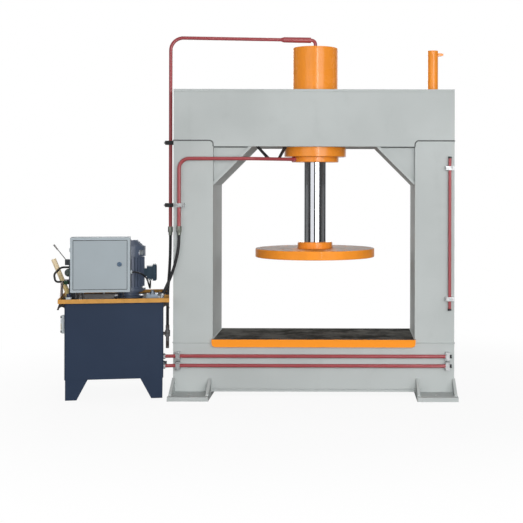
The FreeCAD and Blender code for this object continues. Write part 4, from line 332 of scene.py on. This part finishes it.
def switch_gear(name):
    """The wired plate in the cabinet: bare zinc under a dark breaker, a pale contactor, a green relay and a
    row of slotted terminals, each told by its place along, deep and up in the power unit's frame."""
    finish = Finish(name)
    x, y = finish.axis("X") - UNIT_CORNER[0], finish.axis("Y") - UNIT_CORNER[1]
    along = x * math.cos(UNIT_TURN) + y * math.sin(UNIT_TURN)
    deep = y * math.cos(UNIT_TURN) - x * math.sin(UNIT_TURN)
    height = finish.axis("Z")
    spots = finish.noise(30.0, 4.0, 0.6)
    zinc = finish.mix(finish.step(spots, 0.4, 0.7), (0.55, 0.57, 0.58), (0.42, 0.44, 0.45))
    case = finish.mix(finish.step(along, 0.175, 0.18), (0.045, 0.047, 0.05), (0.6, 0.61, 0.58))
    case = finish.mix(finish.step(along, 0.27, 0.275), case, (0.1, 0.22, 0.17))
    handles = finish.step(height, 1.048, 1.05) * finish.drop(height, 1.072, 1.074)
    case = finish.mix(handles * finish.drop(deep, 0.095, 0.097), case, (0.02, 0.02, 0.022))
    slots = finish.step(finish.math("SINE", along * 520.0), 0.3, 0.5)
    row = finish.mix(slots, (0.5, 0.49, 0.42), (0.16, 0.16, 0.14))
    devices = finish.mix(finish.step(height, 0.95, 0.96), row, case)
    bare = finish.step(deep, 0.1655, 0.1672)
    return finish.surface({
        "Base Color": finish.mix(bare, devices, zinc), "Metallic": bare * 0.7,
        "Roughness": finish.clamp(spots * 0.2 + 0.35)})


def pressed_bed(name, paint, oil):
    """The bed plate: painted edges, a dark oily top with wiped streaks and scratches, and a grey rim."""
    finish = Finish(name)
    up = finish.step(finish.facing("Z"), 0.5, 0.9)
    patches = finish.noise(6.0, 6.0, 0.65)
    wiped = finish.noise(14.0, 5.0, 0.6, finish.scaled((0.25, 1.4, 1.0)))
    top = finish.mix(finish.step(patches, 0.35, 0.65), darker(oil, 0.5), darker(oil, 1.6))
    top = finish.mix(finish.step(wiped, 0.55, 0.72) * 0.5, top, (0.13, 0.125, 0.11))
    bare = (0.3, 0.29, 0.27)
    scratch = finish.drop(finish.grain(46.0, finish.scaled((0.08, 1.0, 1.0))), 0.0, 0.05)
    top = finish.mix(scratch * 0.25, top, bare)
    rim = finish.drop(finish.axis("Y"), -0.31, -0.3)
    top = finish.mix(rim * 0.6, top, bare)
    chips = finish.step(finish.noise(60.0, 5.0, 0.7), 0.68, 0.74)
    side = finish.mix(chips * 0.5, paint, (0.2, 0.15, 0.1))
    return finish.surface({
        "Base Color": finish.mix(up, side, top),
        "Roughness": finish.clamp(patches * 0.35 + 0.45), "Specular IOR Level": 0.0,
        "Normal": finish.bump(patches * 0.5 + finish.noise(160.0, 2.0) * 0.5, 0.0003)})


def dusty_platen(name, paint):
    """The platen: orange rim and underside, and a top that is grey with dust, oil and wear."""
    finish = Finish(name)
    up = finish.step(finish.facing("Z"), 0.6, 0.95)
    patches = finish.noise(7.0, 6.0, 0.65)
    streaks = finish.noise(12.0, 4.0, 0.6, finish.scaled((0.6, 2.2, 1.0)))
    dust = finish.mix(finish.step(patches, 0.3, 0.7), (0.24, 0.15, 0.105), (0.56, 0.375, 0.28))
    dust = finish.mix(finish.step(streaks, 0.5, 0.66) * 0.8, dust, (0.17, 0.11, 0.075))
    dust = finish.mix(finish.step(finish.noise(16.0, 4.0), 0.58, 0.7) * 0.7, dust, darker(paint, 0.75))
    across = finish.math("ABSOLUTE", finish.axis("X")) + patches * 0.08
    wiped = finish.drop(across, 0.14, 0.24) * finish.drop(finish.axis("Y"), -0.1, 0.0)
    dust = finish.mix(wiped, dust, paint)
    worn = finish.step(finish.noise(42.0, 5.0, 0.7), 0.66, 0.72) * 0.4
    rim = finish.mix(finish.step(patches, 0.4, 0.7), paint, darker(paint, 0.9))
    rim = finish.mix(worn, rim, darker(paint, 0.5))
    return finish.surface({
        "Base Color": finish.mix(up, rim, dust), "Roughness": finish.clamp(patches * 0.3 + 0.26 + up * 0.2),
        "Coat Weight": 0.05, "Specular IOR Level": 0.12, "Normal": finish.bump(patches, 0.0002)})


def oily_tray(name, paint):
    """The tray: ochre lip, a floor painted near black for oil and for painted shade under the cabinet, and at
    the left end a guard sheet of pinkish primer painted pale as painted light from behind.
    """
    finish = Finish(name)
    up = finish.step(finish.facing("Z"), 0.5, 0.9)
    inside = up * finish.drop(finish.axis("Z"), 0.706, 0.71)
    grime = finish.noise(18.0, 6.0, 0.65)
    fine = finish.noise(240.0, 2.0)
    lip = finish.mix(finish.step(grime, 0.45, 0.75) * 0.6, paint, darker(paint, 0.6))
    # Painted light: the guard sheet's primer is made pale to stand for the light that falls on it from
    # behind.
    guard = finish.mix(finish.step(grime, 0.4, 0.7), (0.92, 0.8, 0.77), (0.68, 0.52, 0.47))
    tone = finish.mix(finish.step(finish.axis("Z"), 0.728, 0.732), lip, guard)
    # Painted shade: the floor inside the tray is near black, for its oil and for the shade under the cabinet.
    oil_and_shade_floor = finish.mix(finish.step(grime, 0.4, 0.65), (0.012, 0.01, 0.01), (0.03, 0.022, 0.018))
    tone = finish.mix(inside, tone, oil_and_shade_floor)
    return finish.surface({
        "Base Color": tone, "Roughness": finish.clamp(grime * 0.3 + 0.45), "Specular IOR Level": 0.05,
        "Normal": finish.bump(fine * 0.5 + grime * 0.5, 0.0002)})


# ---------------------------------------------------------------- surfaces by formula


def mesh_object(name, points, faces, material, smooth=True):
    """An object with its place in its mesh, from an array of points and lists of corners."""
    mesh = bpy.data.meshes.new(name)
    mesh.from_pydata(points.reshape(-1, 3).tolist(), [], faces)
    mesh.materials.append(material)
    if smooth:
        mesh.polygons.foreach_set("use_smooth", np.ones(len(mesh.polygons), dtype=bool))
    mesh.update()
    piece = bpy.data.objects.new(name, mesh)
    bpy.context.scene.collection.objects.link(piece)
    return piece


def grid_faces(rows, columns, close_rows=False, close_columns=False, first=0):
    """Four-cornered faces over a grid of points whose rows follow each other."""
    row = np.arange(rows if close_rows else rows - 1)
    column = np.arange(columns if close_columns else columns - 1)
    row, column = np.meshgrid(row, column, indexing="ij")
    below = row * columns
    above = ((row + 1) % rows) * columns
    right = (column + 1) % columns
    faces = np.stack([below + column, below + right, above + right, above + column], axis=-1)
    return (faces.reshape(-1, 4) + first).tolist()


def rounded_path(corners, bend=0.0):
    """Points 2 mm apart along straight runs whose inner corners are cut by arcs of one radius.

    Each arc is centre + radius * (cos, sin) between the two tangent points of its corner.
    """
    spacing = 0.002
    corners = np.asarray(corners, dtype=float)
    stretches = []
    start = corners[0]
    for before, corner, after in zip(corners, corners[1:], corners[2:]):
        into = (corner - before) / np.linalg.norm(corner - before)
        out = (after - corner) / np.linalg.norm(after - corner)
        half_turn = math.acos(float(np.clip(into @ out, -1.0, 1.0))) / 2
        reach = bend * math.tan(half_turn)
        inward = (out - into) / np.linalg.norm(out - into)
        centre = corner + inward * bend / math.cos(half_turn)
        sweep = np.linspace(-half_turn, half_turn, 9)[:, None]
        stretches.append(np.stack([start, corner - into * reach]))
        ahead = (into + out) / np.linalg.norm(into + out)
        stretches.append(centre + bend * (np.sin(sweep) * ahead - np.cos(sweep) * inward))
        start = corner + out * reach
    stretches.append(np.stack([start, corners[-1]]))
    line = np.concatenate(stretches)
    along = np.concatenate([[0.0], np.cumsum(np.linalg.norm(np.diff(line, axis=0), axis=1))])
    even = np.linspace(0.0, along[-1], max(2, int(along[-1] / spacing)))
    return np.stack([np.interp(even, along, line[:, axis]) for axis in range(3)], axis=1)


def tube_rings(path, square, radius, around):
    """Circles along a path: path + radius * (cos * side + sin * up).

    The side is the cross product of the path with the direction square, and up is that of side and path.
    """
    ahead = np.gradient(path, axis=0)
    side = np.cross(ahead, np.asarray(square, dtype=float))
    side /= np.linalg.norm(side, axis=1, keepdims=True)
    up = np.cross(side, ahead)
    up /= np.linalg.norm(up, axis=1, keepdims=True)
    turn = np.linspace(0.0, 2.0 * np.pi, around, endpoint=False)[None, :, None]
    radius = np.broadcast_to(np.asarray(radius, dtype=float), (len(path),))[:, None, None]
    return path[:, None] + radius * (np.cos(turn) * side[:, None] - np.sin(turn) * up[:, None])


def swept_tubes(name, runs, radius, material, around=8, ripple=0.0, pitch=0.006):
    """Tubes in one mesh, each along its path: path + radius * swell * circle.

    The swell is 1 + ripple * sin(2 pi * way / pitch), and each run is (path, square) for tube_rings.
    """
    points = []
    faces = []
    count = 0
    for path, square in runs:
        path = np.asarray(path, dtype=float)
        way = np.concatenate([[0.0], np.cumsum(np.linalg.norm(np.diff(path, axis=0), axis=1))])
        rings = tube_rings(path, square, radius * (1.0 + ripple * np.sin(2.0 * np.pi * way / pitch)), around)
        faces += grid_faces(len(path), around, close_columns=True, first=count)
        faces.append([count + number for number in reversed(range(around))])
        faces.append([count + (len(path) - 1) * around + number for number in range(around)])
        points.append(rings.reshape(-1, 3))
        count += len(path) * around
    return mesh_object(name, np.concatenate(points), faces, material)


def turned_piece(name, foot, axis, profile, material, around=24):
    """A surface of revolution: each (radius, height) of the profile is a circle about the axis."""
    axis = np.asarray(axis, dtype=float) / np.linalg.norm(axis)
    first = np.cross(axis, UP if abs(axis[2]) < 0.9 else (1.0, 0.0, 0.0))
    first /= np.linalg.norm(first)
    second = np.cross(axis, first)
    profile = np.asarray(profile, dtype=float)
    turn = np.linspace(0.0, 2.0 * np.pi, around, endpoint=False)[None, :, None]
    rings = (np.asarray(foot, dtype=float) + profile[:, 1, None, None] * axis
             + profile[:, 0, None, None] * (np.cos(turn) * first + np.sin(turn) * second))
    faces = grid_faces(len(profile), around, close_columns=True)
    faces.append(list(range(around))[::-1])
    faces.append([(len(profile) - 1) * around + number for number in range(around)])
    piece = mesh_object(name, rings, faces, material)
    bevel = piece.modifiers.new("rounded", "BEVEL")
    bevel.width = 0.0006
    bevel.segments = 2
    return piece


def wrapped_plate(name, axis_place, radius, middle, half_span, low, high, material):
    """A plate of 1 mm bent round an upright axis: radius * (cos, sin) of an angle, by a height."""
    rows, columns = 7, 13
    angle, height = np.meshgrid(np.linspace(middle - half_span, middle + half_span, columns),
                                np.linspace(low, high, rows), indexing="xy")
    points = np.stack([axis_place[0] + radius * np.cos(angle),
                       axis_place[1] + radius * np.sin(angle), height], axis=-1)
    piece = mesh_object(name, points, grid_faces(rows, columns), material)
    solid = piece.modifiers.new("sheet", "SOLIDIFY")
    solid.thickness = 0.001
    solid.offset = 1.0
    return piece


# ---------------------------------------------------------------- settings


class PressColours(bpy.types.PropertyGroup):
    """The paints of the press."""

    frame_grey: bpy.props.FloatVectorProperty(
        name="Frame grey", description="Light grey paint of the welded frame", subtype="COLOR",
        default=(0.475, 0.505, 0.5))
    frame_orange: bpy.props.FloatVectorProperty(
        name="Orange", description="Orange paint of the cylinder, the platen and the bed", subtype="COLOR",
        default=(0.94, 0.31, 0.03))
    pipe_red: bpy.props.FloatVectorProperty(
        name="Pipe red", description="Red paint of the rigid pipes", subtype="COLOR",
        default=(0.36, 0.06, 0.068))
    tank_blue: bpy.props.FloatVectorProperty(
        name="Tank blue", description="Dark paint of the oil tank", subtype="COLOR",
        default=(0.0255, 0.0408, 0.0756))
    tray_ochre: bpy.props.FloatVectorProperty(
        name="Tray ochre", description="Paint of the tray on the tank", subtype="COLOR",
        default=(0.6, 0.31, 0.085))
    cabinet_grey: bpy.props.FloatVectorProperty(
        name="Cabinet grey", description="Powder coat of the control cabinet", subtype="COLOR",
        default=(0.35, 0.4, 0.43))
    motor_blue: bpy.props.FloatVectorProperty(
        name="Motor blue", description="Paint of the motor", subtype="COLOR", default=(0.0798, 0.103, 0.154))
    rubber_black: bpy.props.FloatVectorProperty(
        name="Rubber black", description="Rubber of hoses, seals and grips", subtype="COLOR",
        default=(0.013, 0.013, 0.015))


class PressSizes(bpy.types.PropertyGroup):
    """Sizes of the pieces that this file adds."""

    hose_diameter: bpy.props.FloatProperty(
        name="Hose", description="Outside diameter of the free hoses", unit="LENGTH", default=0.022)
    cable_diameter: bpy.props.FloatProperty(
        name="Motor cable", description="Outside diameter of the motor cable", unit="LENGTH", default=0.012)
    bead_radius: bpy.props.FloatProperty(
        name="Weld bead", description="Radius of a weld bead", unit="LENGTH", default=0.005)
    bead_pitch: bpy.props.FloatProperty(
        name="Bead ripple", description="Distance from one ripple of a weld bead to the next", unit="LENGTH",
        default=0.008)


# ---------------------------------------------------------------- operators


def dress(names, material):
    """Give CAD nodes a finish."""
    for name in names:
        for place in NODES[name].material_slots:
            place.material = material


class PRESS_OT_stage(bpy.types.Operator):
    """Floor, backdrop, soft studio light and the camera at the photograph's place"""

    bl_idname = "press.stage"
    bl_label = "Stage and camera"

    def execute(self, context):
        scene = context.scene
        scene.view_settings.view_transform = "Standard"
        self.make_world(scene)
        self.make_floor()
        for panel in PANELS:
            self.make_panel(scene, *panel)
        self.make_camera(scene)
        return {"FINISHED"}

    @staticmethod
    def make_camera(scene):
        """A long lens, square to the press with a slight roll, and shifted as the photograph is cut."""
        lens = bpy.data.cameras.new("photo_camera")
        lens.sensor_width = 36.0
        lens.lens = 74.0
        lens.shift_x = -0.1597
        lens.shift_y = -0.1463
        camera = bpy.data.objects.new("photo_camera", lens)
        camera.location = (0.2272, -8.161, 1.545)
        camera.rotation_euler = (math.pi / 2, math.radians(-0.12), 0.0)
        scene.collection.objects.link(camera)
        scene.camera = camera

    @staticmethod
    def make_world(scene):
        """A dim even studio; the camera sees plain white, and metal sees white where the backdrop stands."""
        finish = Finish("studio", bpy.data.worlds, "Generated")
        glossy_ray = finish.ray("Is Glossy Ray")
        behind = finish.step(finish.axis("Y"), 0.7, 0.92)
        clear_ray = finish.ray("Is Transmission Ray")
        seen = finish.clamp(finish.ray("Is Camera Ray") + clear_ray + glossy_ray * behind)
        room = finish.add("ShaderNodeBackground", sockets={
            "Color": WHITE, "Strength": glossy_ray * -0.16 + 0.24})
        white = finish.add("ShaderNodeBackground", sockets={"Color": WHITE, "Strength": 1.0})
        both = finish.add("ShaderNodeMixShader", sockets={0: seen, 1: room, 2: white})
        scene.world = finish.close(both, "ShaderNodeOutputWorld")

    @staticmethod
    def make_floor():
        """A plain floor that fades to white away from the press and keeps its soft shadow."""
        finish = Finish("studio_floor")
        glossy_ray = finish.ray("Is Glossy Ray")
        distance = finish.add("ShaderNodeVectorMath", {"operation": "LENGTH"}, {0: finish.place}, "Value")
        behind = finish.step(finish.axis("Y") / distance, 0.7, 0.92)
        tone = finish.mix(finish.noise(0.7, 2.0), (0.62, 0.62, 0.62), (0.66, 0.66, 0.66))
        tone = finish.mix(finish.clamp(finish.ray("Is Diffuse Ray") + glossy_ray), tone, (0.14, 0.14, 0.14))
        plain = finish.add("ShaderNodeBsdfPrincipled", sockets={"Base Color": tone, "Roughness": 0.8})
        white = finish.add("ShaderNodeEmission", sockets={"Color": WHITE, "Strength": 1.0})
        far = finish.step(distance, 1.6, 3.6)
        share = finish.clamp(finish.ray("Is Camera Ray") + glossy_ray * behind) * (far * 0.08 + 0.92)
        both = finish.add("ShaderNodeMixShader", sockets={0: share, 1: plain, 2: white})
        reach = 30.0
        corners = reach * np.array([(-1.0, -1.0, 0.0), (1.0, -1.0, 0.0), (1.0, 1.0, 0.0), (-1.0, 1.0, 0.0)])
        mesh_object("studio_floor", corners, [[0, 1, 2, 3]], finish.close(both), smooth=False)

    @staticmethod
    def make_panel(scene, name, place, size, power, mirrored):
        """A soft box that faces the press's middle and that the camera doesn't see."""
        lamp = bpy.data.lights.new(name, "AREA")
        lamp.shape = "RECTANGLE"
        lamp.size, lamp.size_y = size
        lamp.energy = power
        carrier = bpy.data.objects.new(name, lamp)
        carrier.location = place
        direction = np.array(PANEL_AIM) - np.array(place)
        level = math.hypot(direction[0], direction[1])
        turn = math.atan2(-direction[0], direction[1])
        carrier.rotation_euler = (math.atan2(level, -direction[2]), 0.0, turn)
        carrier.visible_camera = False
        carrier.visible_glossy = mirrored
        scene.collection.objects.link(carrier)


class PRESS_OT_frame_finish(bpy.types.Operator):
    """Paint of the welded frame, the cylinder and the pipes"""

    bl_idname = "press.frame_finish"
    bl_label = "Frame finishes"

    def execute(self, context):
        colours = context.scene.press_colours
        grey = sprayed_paint("frame_grey_paint", colours.frame_grey, 0.6, 0.0, 0.12, sheen=0.08)
        # Painted shade: the post, barrel, cap, gland and hub take a copy of the orange at 0.93. It is darker
        # than the bed's and the platen's, to offset the stronger light on them.
        orange = sprayed_paint("orange_paint_shaded", darker(colours.frame_orange, 0.93), 0.27, 0.4, 0.14, sheen=0.3)
        red = sprayed_paint("pipe_red_paint", colours.pipe_red, 0.34, 0.3, 0.25)
        dress(("lower_beam", "left_column", "right_column", "upper_beam", "left_gusset", "right_gusset",
               "feet"), grey)
        dress(("hoist_post", "cylinder_barrel", "cylinder_cap", "gland", "platen_hub"), orange)
        dress(("top_pipe", "gland_pipe", "front_pipes", "cylinder_ports"), red)
        dress(("bed_plate",), pressed_bed("bed_finish", colours.frame_orange, (0.1, 0.1, 0.094)))
        dress(("platen",), dusty_platen("platen_finish", colours.frame_orange))
        dress(("piston_rod",), hard_chrome("rod_chrome"))
        dress(("pipe_clamps", "clamp_bolts"), bright_steel("zinc_plate", (0.66, 0.67, 0.68), 0.5))
        dress(("pipe_unions", "motor_shaft"), bright_steel("passivated_zinc", (0.36, 0.38, 0.33), 0.4))
        dress(("tank_fittings",), fitting_steel("fitting_steel"))
        dress(("cylinder_bolts", "ram_fasteners", "pipe_hanger", "cabinet_stands"), bright_steel(
            "blackened_steel", (0.07, 0.07, 0.075), 0.42))
        dress(("valve_block",), bright_steel("block_steel", (0.34, 0.4, 0.47), 0.48))
        dress(("valve_lever", "lever_grip"), bright_steel("lever_steel", (0.5, 0.47, 0.46), 0.5))
        dress(("door_lock",), bright_steel("lock_steel", (0.14, 0.2, 0.28), 0.35))
        rubber = moulded("black_rubber", colours.rubber_black, 0.5)
        dress(("rod_wiper", "piston_seals", "top_pipe_clamps", "pipe_plugs", "gauge_line", "cooling_fan"),
              rubber)
        return {"FINISHED"}


class PRESS_OT_unit_finish(bpy.types.Operator):
    """Finishes of the tank, the motor and the cabinet"""

    bl_idname = "press.unit_finish"
    bl_label = "Power unit finishes"

    def execute(self, context):
        colours = context.scene.press_colours
        dress(("tank", "tank_legs"), sprayed_paint(
            "tank_blue_paint", colours.tank_blue, 0.4, 0.0, 0.25, sheen=0.2))
        dress(("tank_tray",), oily_tray("tray_finish", colours.tray_ochre))
        dress(("cabinet_door",), sprayed_paint(
            "door_powder_coat", colours.cabinet_grey, 0.5, 0.0, 0.06, peel=0.00025, patch=0.04))
        dress(("cabinet_body",), sprayed_paint(
            "cabinet_powder_coat", darker(colours.cabinet_grey, 1.1), 0.5, 0.0, 0.06,
            peel=0.00025, patch=0.03))
        dress(("motor_housing", "motor_cowl", "bell_housing"), sprayed_paint(
            "motor_blue_paint", colours.motor_blue, 0.34, 0.3, 0.3))
        dress(("terminal_box",), sprayed_paint(
            "terminal_box_paint", (0.02, 0.045, 0.072), 0.4, 0.0, 0.2, sheen=0.3))
        dress(("hand_valve", "piston", "pump_body", "pressure_dial"), sprayed_paint(
            "valve_dark_paint", (0.045, 0.05, 0.06), 0.45, 0.0, 0.3))
        dress(("relief_knob",), moulded("green_knob_plastic", (0.015, 0.07, 0.03), 0.4))
        dress(("filler_cap",), moulded("blue_cap_plastic", (0.012, 0.02, 0.06), 0.4))
        dress(("switch_gear",), switch_gear("switch_gear_finish"))
        dress(("level_gauge", "cable_glands"), moulded("pale_plastic", (0.55, 0.6, 0.62), 0.45))
        dress(("tool_tube",), rolled_card("tool_tube_finish"))
        return {"FINISHED"}


class PRESS_OT_hoses(bpy.types.Operator):
    """The two free hoses between the rigid pipes and the power unit, and the motor's cable"""

    bl_idname = "press.hoses"
    bl_label = "Hoses and cable"

    def execute(self, context):
        sizes = context.scene.press_sizes
        rubber = moulded("hose_rubber", context.scene.press_colours.rubber_black, 0.42)
        port = unit_point(*RETURN_PORT)
        self.lay_cord("hose_return", 0.670, sizes.hose_diameter, rubber, [
            (-1.076, -0.130, 1.168), (-1.076, -0.130, 1.076), (-1.079, -0.136, 0.948),
            (-1.085, -0.149, 0.832), (port[0], port[1], RETURN_STRAIGHT), port])
        self.lay_cord("hose_pressure", 0.448, sizes.hose_diameter, rubber, [
            (-0.984, -0.315, 1.178), (-0.984, -0.315, 1.105), (-1.000, -0.314, 1.010),
            (-1.036, -0.311, 0.890), *self.elbow_end()])
        self.lay_cord("motor_cable", 0.355, sizes.cable_diameter, rubber, [unit_point(*point) for point in (
            (0.471, 0.120, 0.905), (0.503, 0.120, 0.905), (0.543, 0.154, 0.887), (0.578, 0.202, 0.851),
            (0.592, 0.218, 0.79582), (0.600, 0.272, 0.76465), (0.600, 0.326, 0.79582),
            (0.600, 0.326, 0.827))])
        return {"FINISHED"}

    @staticmethod
    def lay_cord(name, length, diameter, material, points):
        """A round cord on a smooth spline that the points pull."""
        line = bpy.data.curves.new(name, "CURVE")
        line.dimensions = "3D"
        line.bevel_depth = diameter / 2
        line.bevel_resolution = 6
        line.resolution_u = 16
        line.use_fill_caps = True
        spline = line.splines.new("NURBS")
        spline.points.add(len(points) - 1)
        for place, point in zip(spline.points, points):
            place.co = (*point, 1.0)
        spline.order_u = 3
        spline.use_endpoint_u = True
        line.materials.append(material)
        piece = bpy.data.objects.new(f"{name}_line", line)
        bpy.context.scene.collection.objects.link(piece)
        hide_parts(name)
        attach(piece, "base")

    @staticmethod
    def elbow_end():
        """The last run, which leans as the outlet elbow's arm does."""
        aim = math.sin(ELBOW_LEAN) * np.array(UNIT_ALONG) + math.cos(ELBOW_LEAN) * np.array(UP)
        tip = np.array(unit_point(*ELBOW_FOOT)) + ELBOW_ARM * aim
        straight = 0.062          # the hose leaves the elbow in line with its arm
        return [tuple(tip + straight * aim), tuple(tip)]


class PRESS_OT_weld_beads(bpy.types.Operator):
    """Weld beads along the frame's seams, with near-black beads under the upper beam as painted shadow lines
    """

    bl_idname = "press.weld_beads"
    bl_label = "Weld beads"

    def execute(self, context):
        sizes = context.scene.press_sizes
        grey = bpy.data.materials["frame_grey_paint"]
        # Painted shadow: the beads round the upper beam's foot over the columns and along the gussets' top
        # are painted near black. They stand for the shadow lines that the beam casts, with a little weld
        # dirt.
        shadow_paint = sprayed_paint("seam_shadow_paint", darker(context.scene.press_colours.frame_grey, 0.32),
                              0.7, 0.0, 0.3, sheen=0.05)
        gusset_seam = BEAM_UNDERSIDE - 0.003
        runs, shadow_runs = [], []
        for hand in (-1.0, 1.0):
            side, inner = hand * FRAME_SIDE, hand * COLUMN_INNER
            for face in (-FRAME_FACE, FRAME_FACE):
                runs.append((rounded_path([(side, face, FOOT_SEAM), (hand * FOOT_SEAM_END, face, FOOT_SEAM)]),
                             DEPTH))
                head = [(side, face, HEAD_SEAM), (inner, face, HEAD_SEAM), (inner, face, BEAM_UNDERSIDE)]
                shadow_runs.append((rounded_path(head, HEAD_BEND), DEPTH))
            shadow_runs.append((rounded_path([(inner, -GUSSET_FACE, gusset_seam),
                                            (hand * GUSSET_END, -GUSSET_FACE, gusset_seam)]), DEPTH))
            for place, level in ((side, FOOT_SEAM), (side, HEAD_SEAM), (inner, BED_SEAM)):
                runs.append((rounded_path([(place, -FRAME_FACE, level), (place, FRAME_FACE, level)]), UP))
        thin = []
        for face in (-FRAME_FACE, FRAME_FACE):
            runs.append((rounded_path([(-BASE_SEAM_END, face, BASE_SEAM), (BASE_SEAM_END, face, BASE_SEAM)]),
                         DEPTH))
            thin.append((rounded_path([(-FRAME_SIDE, face, TOP_SEAM), (FRAME_SIDE, face, TOP_SEAM)]), DEPTH))
        turn = np.linspace(0.0, 2.0 * np.pi, 160)
        ring = np.stack([POST_ALONG + POST_SEAM_RADIUS * np.cos(turn), POST_SEAM_RADIUS * np.sin(turn),
                         np.full_like(turn, BEAM_TOP)], axis=1)
        wave = {"ripple": 0.14, "pitch": sizes.bead_pitch}
        beads = swept_tubes("frame_weld_beads", runs, sizes.bead_radius, grey, **wave)
        dull = swept_tubes("beam_shadow_beads", shadow_runs, sizes.bead_radius, shadow_paint, **wave)
        seam = swept_tubes("beam_top_seam", thin, TOP_SEAM_RADIUS, grey)
        post = swept_tubes("hoist_post_bead", [(ring, UP)], sizes.bead_radius, grey, **wave)
        for piece in (beads, dull, seam, post):
            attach(piece, "base")
        return {"FINISHED"}


class PRESS_OT_unit_details(bpy.types.Operator):
    """Door seal, bare motor plate, dial face, gauge window and the ring under the filler cap"""

    bl_idname = "press.unit_details"
    bl_label = "Power unit details"

    def execute(self, context):
        dark = bpy.data.materials["black_rubber"]
        pale = bpy.data.materials["pale_plastic"]
        pieces = [self.door_seal(dark), self.motor_plate(), self.dial_face(), self.dial_marks(pale),
                  self.gauge_window()]
        for name, height in (("gauge_bolt_low", 0.4865), ("gauge_bolt_high", 0.5905)):
            pieces.append(turned_piece(
                name, unit_point(GAUGE_FACE + 0.001, GAUGE_DEEP, height), opposite(UNIT_ALONG),
                [(0.009, 0.0), (0.009, 0.007), (0.007, 0.008), (0.001, 0.008)], dark))
        pieces.append(turned_piece(
            "filler_ring", unit_point(*FILLER_FOOT), UP,
            [(0.0205, 0.0), (0.0205, 0.0295), (0.0185, 0.0315), (0.001, 0.0315)], pale, 32))
        for piece in pieces:
            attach(piece, "base")
        return {"FINISHED"}

    @staticmethod
    def door_seal(material):
        """A thin cord round the cabinet's mouth, closed at the middle of its foot."""
        left, right, low, high, middle, deep = 0.0595, 0.4385, 0.7905, 1.1425, 0.249, 0.0125
        corners = [(middle, low), (right, low), (right, high), (left, high), (left, low), (middle, low)]
        path = rounded_path([unit_point(u, deep, z) for u, z in corners], 0.004)
        return swept_tubes("door_seal", [(path, UNIT_DEEP)], 0.003, material)

    @staticmethod
    def motor_plate():
        """A bare plate bent round the motor's cowl, on the side that the camera sees."""
        radius, middle, half_span, low, high = 0.1245, math.radians(-32.0), 0.18, 1.020, 1.056
        return wrapped_plate("motor_plate", unit_point(*MOTOR_AXIS), radius, middle, half_span, low, high,
                             bright_steel("bare_plate", (0.8, 0.83, 0.88), 0.45))

    @staticmethod
    def dial_face():
        """The enamelled disc of the pressure dial, with a bevelled foot."""
        return turned_piece("dial_face", unit_point(DIAL_ALONG, DIAL_FACE, DIAL_HEIGHT), opposite(UNIT_DEEP),
                            [(0.024, 0.0), (0.025, 0.001), (0.025, 0.003), (0.001, 0.003)],
                            moulded("dial_enamel", (0.05, 0.075, 0.065), 0.35), 32)

    @staticmethod
    def dial_marks(material):
        """Marks on a three-quarter turn at (sin, cos) of their angles, and the needle at rest."""
        marks_deep, needle_deep, needle_reach = 0.2412, 0.2408, 0.012
        marks = []
        for angle in np.radians(np.arange(-135.0, 136.0, 27.0)):
            ends = [unit_point(DIAL_ALONG + share * math.sin(angle), marks_deep,
                               DIAL_HEIGHT + share * math.cos(angle)) for share in (0.018, 0.0225)]
            marks.append((rounded_path(ends), UNIT_DEEP))
        needle = [unit_point(DIAL_ALONG, needle_deep, DIAL_HEIGHT),
                  unit_point(DIAL_ALONG - needle_reach, needle_deep, DIAL_HEIGHT - needle_reach)]
        marks.append((rounded_path(needle), UNIT_DEEP))
        return swept_tubes("dial_marks", marks, 0.0006, material, 6)

    @staticmethod
    def gauge_window():
        """The round glass between the level gauge's two bolts."""
        low, high, radius = 0.500, 0.578, 0.0065
        path = rounded_path([unit_point(GAUGE_FACE, GAUGE_DEEP, height) for height in (low, high)])
        return swept_tubes("gauge_window", [(path, UNIT_ALONG)], radius, oil_window("gauge_glass"), 12)


class PRESS_PT_panel(bpy.types.Panel):
    """The press's pieces, one button each"""

    bl_label = "Hydraulic press"
    bl_idname = "PRESS_PT_panel"
    bl_space_type = "VIEW_3D"
    bl_region_type = "UI"
    bl_category = "Press"

    def draw(self, context):
        for operator in OPERATORS:
            self.layout.operator(operator.bl_idname)


OPERATORS = (PRESS_OT_stage, PRESS_OT_frame_finish, PRESS_OT_unit_finish, PRESS_OT_hoses, PRESS_OT_weld_beads,
             PRESS_OT_unit_details)
CLASSES = (PressColours, PressSizes, *OPERATORS, PRESS_PT_panel)


def register():
    """Register the classes, and hang the settings on the scene."""
    for item in CLASSES:
        bpy.utils.register_class(item)
    bpy.types.Scene.press_colours = bpy.props.PointerProperty(type=PressColours)
    bpy.types.Scene.press_sizes = bpy.props.PointerProperty(type=PressSizes)


def unregister():
    """Take the settings and the classes away again."""
    del bpy.types.Scene.press_sizes
    del bpy.types.Scene.press_colours
    for item in reversed(CLASSES):
        bpy.utils.unregister_class(item)


def main():
    """Dress the press with each operator in turn."""
    register()
    for operator in OPERATORS:
        group, name = operator.bl_idname.split(".")
        getattr(getattr(bpy.ops, group), name)()


if __name__ == "__main__":
    main()
